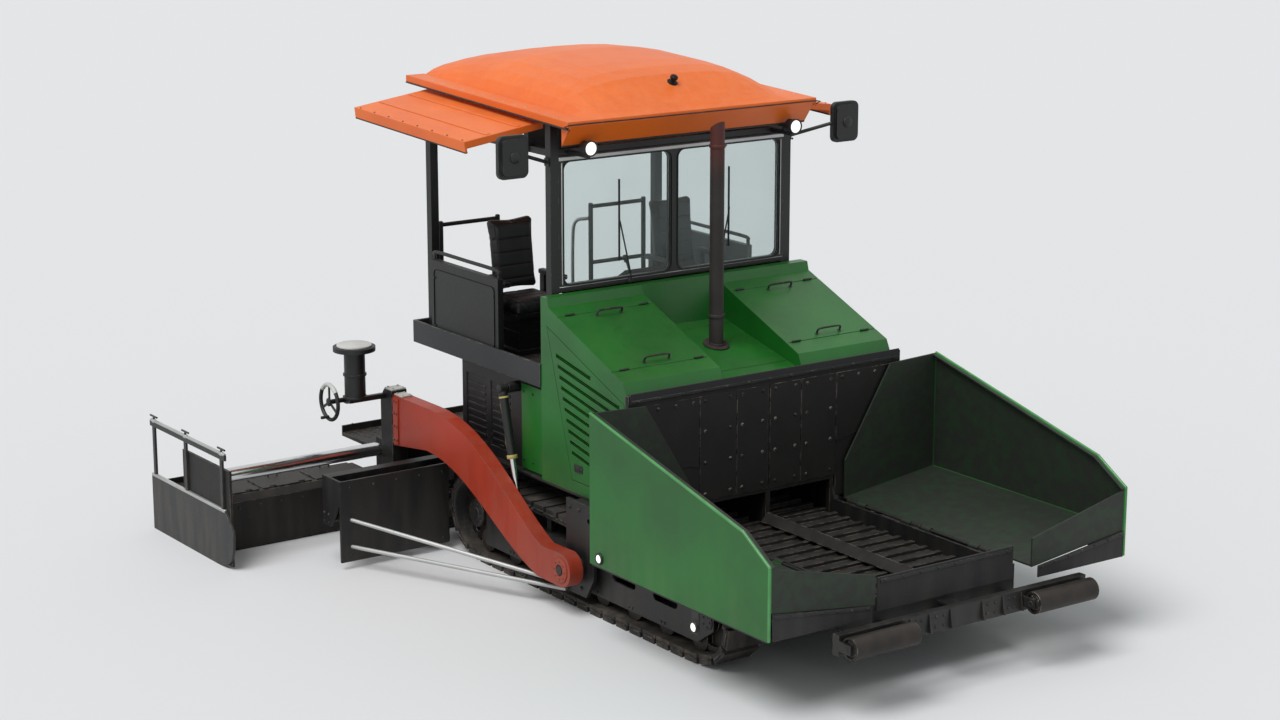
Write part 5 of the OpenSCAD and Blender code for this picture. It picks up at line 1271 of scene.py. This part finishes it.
@dataclass
class Seats(SubAssembly):
    """Padded cushions and backs of both seats, swollen by a cloth simulation, with sewn channels and piping."""

    mid_y: float = 780.0
    voxel_mm: float = 6.0
    swell_mm: float = 24.0  # the farthest that a point may move as the pad fills
    pressure: float = 4.0
    frames: int = 20
    channel_mm: float = 7.0  # how deep and how wide a sewn channel is
    shrink: float = 14.0  # how far the pad starts inside its CAD solid
    seat_half_w: float = 230.0
    back_half_w: float = 220.0
    inset: float = 14.0  # from a pad's side to its piping
    crown_mm: float = 460.0  # width over which the channels run out towards the pad's sides

    def pad(self, name: str, outline: Sequence[tuple[float, float]], half_w: float) -> bpy.types.Object:
        """A filled pad from its side outline.

        Args:
            name: Its name.
            outline: Its corners seen from the side, as places along X and heights.
            half_w: Half its width.

        Returns:
            The padded mesh, at the left seat.
        """
        work = Workpiece()
        work.slab(outline, self.mid_y - half_w, self.mid_y + half_w, "Y", 22)
        obj = work.finished(name)
        remesh = obj.modifiers.new("remesh", "REMESH")
        remesh.mode = "VOXEL"
        remesh.voxel_size = self.voxel_mm * MM
        self.apply(obj)
        self.fill(obj)
        smooth = bmesh.new()
        smooth.from_mesh(obj.data)
        for _ in range(4):
            bmesh.ops.smooth_vert(smooth, verts=smooth.verts, factor=0.5, use_axis_x=True, use_axis_y=True,
                                  use_axis_z=True)
        smooth.to_mesh(obj.data)
        smooth.free()
        return obj

    def apply(self, obj: bpy.types.Object) -> None:
        """Applies what modifiers an object has to its mesh."""
        graph = bpy.context.evaluated_depsgraph_get()
        mesh = bpy.data.meshes.new_from_object(obj.evaluated_get(graph))
        obj.modifiers.clear()
        old = obj.data
        obj.data = mesh
        bpy.data.meshes.remove(old)

    def fill(self, obj: bpy.types.Object) -> None:
        """Swells a pad with Blender's cloth under pressure, and caps how far its points move."""
        start = [v.co.copy() for v in obj.data.vertices]
        cloth = obj.modifiers.new("cloth", "CLOTH")
        cloth.settings.use_pressure = True
        cloth.settings.uniform_pressure_force = self.pressure
        cloth.settings.effector_weights.gravity = 0.0
        scene = bpy.context.scene
        scene.frame_start, scene.frame_end = 1, self.frames
        for number in range(1, self.frames + 1):
            scene.frame_set(number)
            bpy.context.view_layer.update()
        self.apply(obj)
        scene.frame_set(1)
        for vert, was in zip(obj.data.vertices, start):
            moved = vert.co - was
            if moved.length > self.swell_mm * MM:
                vert.co = was + moved.normalized() * self.swell_mm * MM

    def sew(self, obj: bpy.types.Object, origin: Vector, way: Vector, out: Vector, lines: Sequence[float]) -> None:
        """Draws sewn channels into a pad's face.

        Args:
            obj: The pad.
            origin: Where the channels' distances start.
            way: Direction from one channel to the next.
            out: Direction that the sewn face looks.
            lines: Distance of each channel from the origin, in millimetres.
        """
        mesh = obj.data
        normals = [v.normal.copy() for v in mesh.vertices]
        for vert, normal in zip(mesh.vertices, normals):
            facing = max(0.0, normal.dot(out))
            along = (vert.co - origin).dot(way) / MM
            depth = sum(exp(-(((along - line) / self.channel_mm) ** 2)) for line in lines)
            crown = cos(pi * min(0.5, abs(vert.co.y / MM - self.mid_y) / self.crown_mm)) ** 0.5
            vert.co -= out * depth * facing * self.channel_mm * MM * crown

    def piping(self, work: Workpiece, pad: bpy.types.Object, ring: Sequence[Place]) -> None:
        """Adds the cord that is sewn around a pad's front edge and lies on its surface.

        Args:
            work: The workpiece.
            pad: The finished pad.
            ring: The corners of the cord's line.
        """
        line = []
        for point in eased([*ring, ring[0]], 8):
            world = Vector(((point.x + TRACK_MID_X) * MM, point.y * MM, point.z * MM))
            _, place, _, _ = pad.closest_point_on_mesh(world)
            line.append((place.x / MM - TRACK_MID_X, place.y / MM, place.z / MM))
        work.hose(line, 4.5, 8, 2)

    def build(self) -> None:
        """Builds the four pads and their piping."""
        s = self.shrink
        seat = self.pad("seat_cushion_left", [(-1700 + s, 1994), (-1250 - s, 1994), (-1250 - s, 2090),
                                              (-1290, 2100 - s), (-1700 + s, 2096 - s)], self.seat_half_w - s)
        back = self.pad("seat_back_left", [(-1686, 2112), (-1606 - s / 2, 2112), (-1672 - s / 2, 2684),
                                           (-1758, 2684)], self.back_half_w - s)
        origin = Vector(((-1700 + TRACK_MID_X) * MM, 0, 2.1))
        self.sew(seat, origin, Vector(AHEAD), Vector(UP), (110, 200, 290))
        lean = Vector((-70, 0, 600)).normalized()
        front = Vector((600, 0, 70)).normalized()
        self.sew(back, Vector(((-1600 + TRACK_MID_X) * MM, 0, 2.1)), lean, front, (110, 215, 320, 425))
        w, b = self.seat_half_w - s - self.inset, self.back_half_w - s - self.inset
        with self.piece("seat_piping", Finish.MOULDED_PLASTIC, mirror=True) as work:
            self.piping(work, seat, [(x, self.mid_y + y, 2120) for x, y in (
                (-1660, -w), (-1470, -w - 4), (-1280, -w), (-1262, 0), (-1280, w), (-1470, w + 4), (-1660, w),
                (-1676, 0))])
            self.piping(work, back, [(-1560 - (z - 2100) * 70 / 600, self.mid_y + y, z) for z, y in (
                (2135, -b), (2400, -b - 4), (2655, -b), (2680, 0), (2655, b), (2400, b + 4), (2135, b), (2122, 0))])
        for left in (seat, back):
            right = left.copy()
            right.data = left.data.copy()
            right.name = left.name.replace("left", "right")
            bpy.context.scene.collection.objects.link(right)
            mirrored = bmesh.new()
            mirrored.from_mesh(right.data)
            bmesh.ops.scale(mirrored, vec=(1, -1, 1), verts=mirrored.verts)
            bmesh.ops.reverse_faces(mirrored, faces=mirrored.faces)
            mirrored.to_mesh(right.data)
            mirrored.free()
            for pad in (left, right):
                pad.data.shade_smooth()
                level = pad.modifiers.new("subdivision", "SUBSURF")
                level.levels = level.render_levels = 1
                self.wardrobe.dress(pad, Finish.SEAT_VINYL)
                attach(pad, "tractor")
                log.info("%s on tractor: %d faces", pad.name, len(pad.data.polygons))
        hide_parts("seat_cushions")


@dataclass
class Canopy(SubAssembly):
    """Trim of the roof, the awnings and the posts."""

    half_w: float = 1160.0
    front_x: float = -290.0
    edge_z: float = 3635.0
    pitch: float = 2.5
    slope: float = 8.0
    awning_front_x: float = -800.0
    awning_length: float = 1630.0
    lip: float = 55.0

    def edge(self, x: float) -> float:
        """Height of the roof's side edge at a place along X."""
        return self.edge_z + (self.front_x - x) * tan(radians(self.pitch))

    def awning(self, side: Side) -> None:
        """Trims one awning.

        Args:
            side: Left or right.
        """
        plane = (Matrix.Translation((self.awning_front_x, self.half_w, 3535))
                 @ Matrix.Rotation(radians(-self.slope), 4, "X") @ Matrix.Rotation(radians(self.pitch), 4, "Y"))
        with self.piece("awning_beads", Finish.ORANGE_GELCOAT, "awning", side) as work:
            low = -self.awning_length + 30
            for y in (60, 330):
                work.block((low, y, 22), (-30, y + 46, 29), 3.0, [plane])
        with self.piece("awning_edging", Finish.SKIRT_RUBBER, "awning", side) as work:
            work.block((-self.awning_length, 560, -66), (0, 584, -54), 4, [plane])
            part = [(-60 - k * 215, 560, 24) for k in range(8)]
            work.bolts([plane @ Vector(p) for p in part], plane.to_3x3() @ Vector(UP), 5)

    def build(self) -> None:
        """Builds the roof's knob, edging and rivets, the posts' feet and the awnings' trim."""
        for side in Side:
            self.awning(side)
        with self.piece("roof_edging", Finish.BLACK_LACQUER, mirror=True) as work:
            work.turned((-600, 0, 3808), (0.49, 0, 0.87),
                        [(-6, 0), (-6, 42), (6, 42), (10, 20), (34, 17), (40, 30), (56, 30), (64, 20), (66, 0)])
            work.hose([(x, self.half_w + 1, self.edge(x) - self.lip) for x in (-2624, -296)], 7, 8, 1)
            work.hose([(-412, 0, 3440), (-412, 600, 3440), (-412, 1136, 3440)], 9, 8, 1)
            work.hose([(-288, 1158, 3588), (-286, 1158, 3612), (-286, 600, 3612), (-286, 0, 3612)], 5, 8, 3)
            for x in (-605, -2350):
                work.turned((x, 1100, 1639), UP, [(0, 0), (0, 78), (10, 76), (12, 52), (12, 0)], 20)
                work.bolts(around((x, 1100, 1649), 56, FOUR_ROUND, "Z"), UP, 7)
        with self.piece("roof_rivets", Finish.PLATED_TUBE, mirror=True) as work:
            for k in range(16):
                x = -2600 + k * 150
                work.turned((x, 1105, self.edge(x) - 1), UP, [(0, 0), (0, 8), (3, 7), (5, 3), (5.5, 0)], 10)


@dataclass
class Lamps(SubAssembly):
    """Lenses of the work lights."""

    front_x: float = -293.0
    y: float = 960.0
    z: float = 3425.0

    def build(self) -> None:
        """Builds the lenses in their recesses and the bezels' screws."""
        with self.piece("lamp_lenses", Finish.LIT_LENS, mirror=True) as work:
            work.turned((self.front_x, self.y, self.z), AHEAD,
                        [(-1, 0), (-1, 49), (2, 49), (6, 44), (10, 30), (12, 15), (12.5, 0)], 32)
        with self.piece("lamp_backs", Finish.MOULDED_PLASTIC, mirror=True) as work:
            work.bolts(around((self.front_x + 8, self.y, self.z), 55, FOUR_ROUND, "X"), AHEAD, 2.6)
            work.turned((self.front_x - 74, self.y, self.z), AHEAD, [(0, 0), (0, 34), (-6, 30), (-14, 14), (-16, 0)])


@dataclass
class Windscreen(SubAssembly):
    """Seals, wipers and pale trim of the windscreen."""

    face_x: float = -570.0
    window_y: tuple = (40.0, 1015.0)
    window_z: tuple = (2360.0, 3290.0)
    corner: float = 60.0

    def build(self) -> None:
        """Builds the seals on both faces, the wipers and the trim."""
        (y0, y1), (z0, z1) = self.window_y, self.window_z
        with self.piece("window_seals", Finish.SKIRT_RUBBER, mirror=True) as work:
            for low, high in ((self.face_x - 3, self.face_x + 7), (self.face_x - 52, self.face_x - 42)):
                work.slab(rounded((y0 - 12, y1 + 12), (z0 - 12, z1 + 12), self.corner + 12), low, high, "X", 2, rim=20)
            work.turned((self.face_x, 420, z0 - 34), AHEAD, [(-4, 0), (-4, 26), (10, 24), (22, 16), (24, 0)])
            work.hose([(self.face_x + 18, 420, z0 - 34), (self.face_x + 24, 430, z0 + 40),
                       (self.face_x + 18, 520, z0 + 440)], 6)
            work.block((self.face_x - 1, 514, z0 + 130), (self.face_x + 16, 526, z0 + 760), 3)
        with self.piece("window_trim", Finish.PLATED_TUBE) as work:
            work.block((self.face_x - 2, -1062, z1 + 12), (self.face_x + 6, 1062, z1 + 40), 3)
            work.block((self.face_x - 2, -1062, z0 - 20), (self.face_x + 4, 1062, z0 - 14), 2)
            for y in (-1040, 1030):
                work.block((self.face_x - 2, y, z0), (self.face_x + 4, y + 10, z1), 2)


@dataclass
class Mirrors(SubAssembly):
    """Silvered glass of the mirrors."""

    x: float = -420.0
    y: float = 1560.0
    z: float = 3400.0

    def build(self) -> None:
        """Builds the glass and the arm's clamps."""
        with self.piece("mirror_glass", Finish.MIRROR_GLASS, mirror=True) as work:
            work.slab(rounded((self.y - 116, self.y + 116), (self.z - 146, self.z + 146), 38, 8),
                      self.x - 21, self.x - 14.6, "X", 2)
        with self.piece("mirror_mounts", Finish.BLACK_LACQUER, mirror=True) as work:
            work.turned((self.x + 34, self.y, self.z), AHEAD, [(0, 0), (0, 46), (8, 42), (16, 24), (18, 0)])
            work.bolts([(-570, 1151, z) for z in (3320, 3280)], ASIDE, 6)


@dataclass
class Arms(SubAssembly):
    """Pivot rings and top plates of the tow arms."""

    pin_x: float = 60.0
    pin_z: float = 365.0
    y: tuple = (1370.0, 1490.0)

    def build(self) -> None:
        """Builds the rings, the plates and their bolts."""
        with self.piece("arm_rings", Finish.RED_ENAMEL, "screed", mirror=True) as work:
            work.turned((self.pin_x, self.y[1], self.pin_z), ASIDE,
                        [(-3, 44), (-3, 96), (7, 96), (10, 90), (10, 44), (-3, 44)], 36)
            work.bolts(around((self.pin_x, self.y[1] + 9, self.pin_z), 70, [k * tau / 8 for k in range(8)]), ASIDE, 7)
            work.slab([(-2370, 800), (-2290, 800), (-2290, 1185), (-2370, 1185)], self.y[1] - 2, self.y[1] + 10, "Y", 3)
            work.bolts([(x, self.y[1] + 10, z) for x in (-2350, -2310) for z in (840, 950, 1060, 1160)], ASIDE, 9)
        with self.piece("arm_plates", Finish.PALE_ENAMEL, "screed", mirror=True) as work:
            work.slab([(-2497, 1229), (-2384, 1229), (-2384, 1243), (-2497, 1243)], 1362, 1498, "Y", 3)
            work.slab([(-2556, 1150), (-2500, 1222), (-2508, 1230), (-2564, 1160)], 1366, 1494, "Y", 2)
            work.block((-2376, 1380, 1198), (-2250, 1480, 1212), 3)
            work.bolts([(x, y, 1243) for x in (-2480, -2400) for y in (1385, 1475)], UP, 8)
            work.bolts([(x, y, 1212) for x in (-2355, -2270) for y in (1397, 1463)], UP, 7)


@dataclass
class Screed(SubAssembly):
    """Covers' hinges, hoses and tread of the basic screed."""

    front_x: float = -2330.0
    walk_x: tuple = (-3585.0, -2800.0)

    def build(self) -> None:
        """Builds the trim of the basic screed and its walkway."""
        with self.piece("screed_fittings", Finish.BLACK_LACQUER, "screed") as work:
            for k in range(4):
                y = (k - 2) * 340 + 170
                for s in (-1, 1):
                    work.rod((-2420, y + s * 90 - 26, 516), (-2420, y + s * 90 + 26, 516), 9, 10, 1)
                work.hose([(-2662, y - 50, 524), (-2662, y - 46, 552), (-2662, y + 46, 552), (-2662, y + 50, 524)], 6)
            work.bolts([(self.front_x, y, z) for y in range(-1400, 1401, 200) for z in (60, 370)], AHEAD, 9)
            work.bolts([(self.walk_x[0] - 9, y, 650) for y in range(-1200, 1201, 300)], UP, 6)
            for z, r in ((548, 13), (575, 10)):
                work.hose([(-2735, -1290, z), (-2728, -900, z + 4), (-2735, -300, z), (-2728, 300, z + 4),
                           (-2735, 900, z), (-2730, 1290, z)], r)
        with self.piece("screed_tread", Finish.TARRED_STEEL, "screed") as work:
            work.tread(self.walk_x, (-1290, 1290), 590)


@dataclass
class ControlStands(SubAssembly):
    """Pale caps of the control stands, a painted highlight along the top of their hand wheels, and the grips of the
    wheels.
    """

    stand: tuple = (-2510.0, 1760.0, 1616.0)
    wheel: tuple = (-2690.0, 1900.0, 1135.0)
    wheel_r: float = 144.0

    def build(self) -> None:
        """Builds the caps, the painted highlight on the hand wheels, the caps' edging and the hand wheels' fittings."""
        with self.piece("stand_caps", Finish.PALE_ENAMEL, "screed", mirror=True) as work:
            work.turned(self.stand, UP, [(2, 0), (2, 142), (13, 142), (18, 134), (20, 60), (21, 0)], 40)
            # A pale arc over the top of each hand wheel is a painted highlight
            work.hose(around(self.wheel, self.wheel_r, [radians(a) for a in range(40, 141, 20)]), 18.5, 12, 3)
        with self.piece("stand_fittings", Finish.MOULDED_PLASTIC, "screed", mirror=True) as work:
            x, y, z = self.stand
            work.turned((x, y, z - 36), UP, [(0, 166), (0, 171), (36, 171), (38, 166), (36, 150), (34, 150),
                                             (34, 164), (0, 166)], 40)
            work.bolts(around((x, y, 1206), 90, (0.5, 1.6, 2.6, 3.7, 4.7, 5.8), "Z"), UP, 4)
            work.turned(self.wheel, ASIDE, [(4, 0), (4, 34), (12, 34), (18, 24), (20, 0)])
            work.rod((self.wheel[0], self.wheel[1] + 8, self.wheel[2] - 120),
                     (self.wheel[0], self.wheel[1] + 80, self.wheel[2] - 120), 13, 14, 4)


@dataclass
class Extensions(SubAssembly):
    """Bright guide tubes, tread and rails of the screed's extensions."""

    tube_x: dict = field(default_factory=lambda: {Side.RIGHT: -2610.0, Side.LEFT: -2450.0})
    tube_z: float = 700.0
    y: tuple = (1455.0, 2955.0)
    cover_x: float = -3120.0  # handles of the covers
    hinge_x: float = -2862.0
    rail_y: float = 2985.3

    def build(self) -> None:
        """Builds both extensions' trim."""
        for side in Side:
            x = self.tube_x[side]
            with self.piece("guide_tube", Finish.CHROMED_BAR, "extension", side) as work:
                work.turned((x, 905, self.tube_z), ASIDE,
                            [(0, 40), (0, 54), (2, 55.5), (2040, 55.5), (2040, 40), (0, 40)], 36)
            with self.piece("extension_fittings", Finish.BLACK_LACQUER, "extension", side) as work:
                for k in range(3):
                    y = self.y[0] + 60 + 480 * k
                    work.hose([(self.cover_x, y + dy, z) for dy, z in ((180, 460), (184, 488), (256, 488),
                                                                       (260, 460))], 6)
                    for s in (90, 350):
                        work.rod((self.hinge_x, y + s - 26, 466), (self.hinge_x, y + s + 26, 466), 9, 10, 1)
                work.bolts([(-2790, self.y[0] + 90 + 190 * k, 350) for k in range(8)], AHEAD, 9)
                work.bolts([(px, self.y[1] - 1, 760) for px in (-3140, -3000, -2860, -2720)], (0, -1, 0), 9)
            with self.piece("extension_tread", Finish.TARRED_STEEL, "extension", side) as work:
                work.tread((-3735, -3200), (self.y[0] + 30, self.y[1] - 8), 350)
            with self.piece("gate_rails", Finish.PLATED_TUBE, "extension", side) as work:
                work.rod((-3742, self.rail_y, 928), (-2408, self.rail_y, 928), 13, 12, 4)
                work.block((-3746, 2971, 452), (-2424, 2998, 478), 4)
                for px in (-3690, -3105, -2465):
                    work.block((px - 24, 2973, 912), (px + 24, 2998, 942), 4)


@dataclass
class Augers(SubAssembly):
    """Collars and bolts on the auger shafts and their carrier."""

    x: float = -2080.0
    z: float = 380.0
    ends: tuple = (70.0, 2240.0)
    screw_at: float = 0.6  # where each collar's screw stands around the shaft, in radians

    def build(self) -> None:
        """Builds the collars, which turn with the shafts, and the carrier's bolts."""
        for side in Side:
            with self.piece("auger_collars", Finish.TARRED_STEEL, "auger", side) as work:
                for k in range(5):
                    y = self.ends[0] + 120 + k * 485
                    work.turned((self.x, y, self.z), ASIDE,
                                [(0, 44), (0, 58), (4, 60), (32, 60), (36, 58), (36, 44), (0, 44)])
                    screw = self.screw_at
                    work.bolts(around((self.x, y + 18, self.z), 59, [screw]), (cos(screw), 0, sin(screw)), 6)
        with self.piece("auger_bolts", Finish.BLACK_LACQUER) as work:
            work.bolts([(self.x + 70, y, z) for y in (-40, 40) for z in (330, 480, 620, 740)], AHEAD, 8)
            for s in (-1, 1):
                work.bolts([(self.x + dx, s * (self.ends[1] + 40), self.z + dz)
                            for dx, dz in ((-35, -35), (35, -35), (-35, 35), (35, 35))], (0, s, 0), 8)
                work.bolts([(-1852, s * y, z) for y in range(1350, 2200, 210) for z in (110, 660)], AHEAD, 8)


@dataclass
class Rams(SubAssembly):
    """Glands, ports and pipes of the lift and wing cylinders."""

    lift_top: tuple = (-970.0, 1328.0, 1520.0)
    lift_foot: tuple = (-750.0, 1328.0, 640.0)
    wing_foot: tuple = (2040.0, 720.0, 430.0)
    wing_head: tuple = (2040.0, 1300.0, 695.0)

    def trim(self, work: Workpiece, foot: Place, head: Place, length: float, aside: Place) -> None:
        """Adds the gland, the ports and the pipe of one cylinder.

        Args:
            work: The workpiece.
            foot: The pin of the barrel.
            head: The pin of the rod.
            length: Distance from the pin to the barrel's mouth.
            aside: Direction in which the ports stand out.
        """
        a, out = Vector(foot), Vector(aside).normalized()
        way = (Vector(head) - a).normalized()
        work.turned(a + way * (length - 26), way, [(0, 33), (0, 39), (3, 41), (26, 41), (30, 38), (30, 28), (0, 33)])
        work.turned(a + way * 60, way, [(0, 33), (0, 38), (14, 38), (14, 33), (0, 33)])
        for share in (0.2, 0.88):
            foot_at = a + way * length * share
            work.rod(foot_at + out * 28, foot_at + out * 50, 11, 6)
        work.hose([a + way * length * 0.88 + out * 50, a + way * length * 0.8 + out * 56,
                   a + way * length * 0.5 + out * 50, a + way * length * 0.24 + out * 56,
                   a + way * length * 0.2 + out * 50], 7)

    def build(self) -> None:
        """Builds both kinds of cylinder's trim."""
        with self.piece("lift_pipes", Finish.YELLOW_HOSE, "lift_barrels", mirror=True) as work:
            self.trim(work, self.lift_top, self.lift_foot, 540, (-0.97, 0, -0.24))
        for side in Side:
            with self.piece("wing_pipes", Finish.BLACK_LACQUER, "wing_barrel", side) as work:
                self.trim(work, self.wing_foot, self.wing_head, 430, AHEAD)


def dress_frame(frame: dict, wardrobe: Wardrobe) -> None:
    """Gives every CAD node its finish.

    Args:
        wardrobe: The finishes.
    """
    slots = {s["node"]: s["material_slot"] for s in frame["record"]["subparts"]}
    for name, obj in frame["nodes"].items():
        wardrobe.dress(obj, NODE_FINISH.get(name, SLOT_FINISH[slots[name]]))
    log.info("%d nodes dressed", len(slots))


SUB_ASSEMBLIES = (Tracks, Hopper, PushRollers, Hood, Exhaust, RearBody, Platform, Console, Seats, Canopy, Lamps,
                  Windscreen, Mirrors, Arms, Screed, ControlStands, Extensions, Augers, Rams)


def main() -> None:
    """Builds the scene around the frame."""
    logging.basicConfig(level=logging.INFO, format="%(name)s: %(message)s")
    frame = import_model()
    bpy.context.scene.view_settings.view_transform = "Standard"
    wardrobe = Wardrobe()
    studio = Studio()
    corners = []
    for name in frame["nodes"]:
        low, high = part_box(name)
        corners += [Vector((x, y, z)) for x in (low.x, high.x) for y in (low.y, high.y) for z in (low.z, high.z)]
    studio.aim(corners)
    studio.light()
    studio.floor()
    dress_frame(frame, wardrobe)
    for kind in SUB_ASSEMBLIES:
        kind(wardrobe).build()


if __name__ == "__main__":
    main()
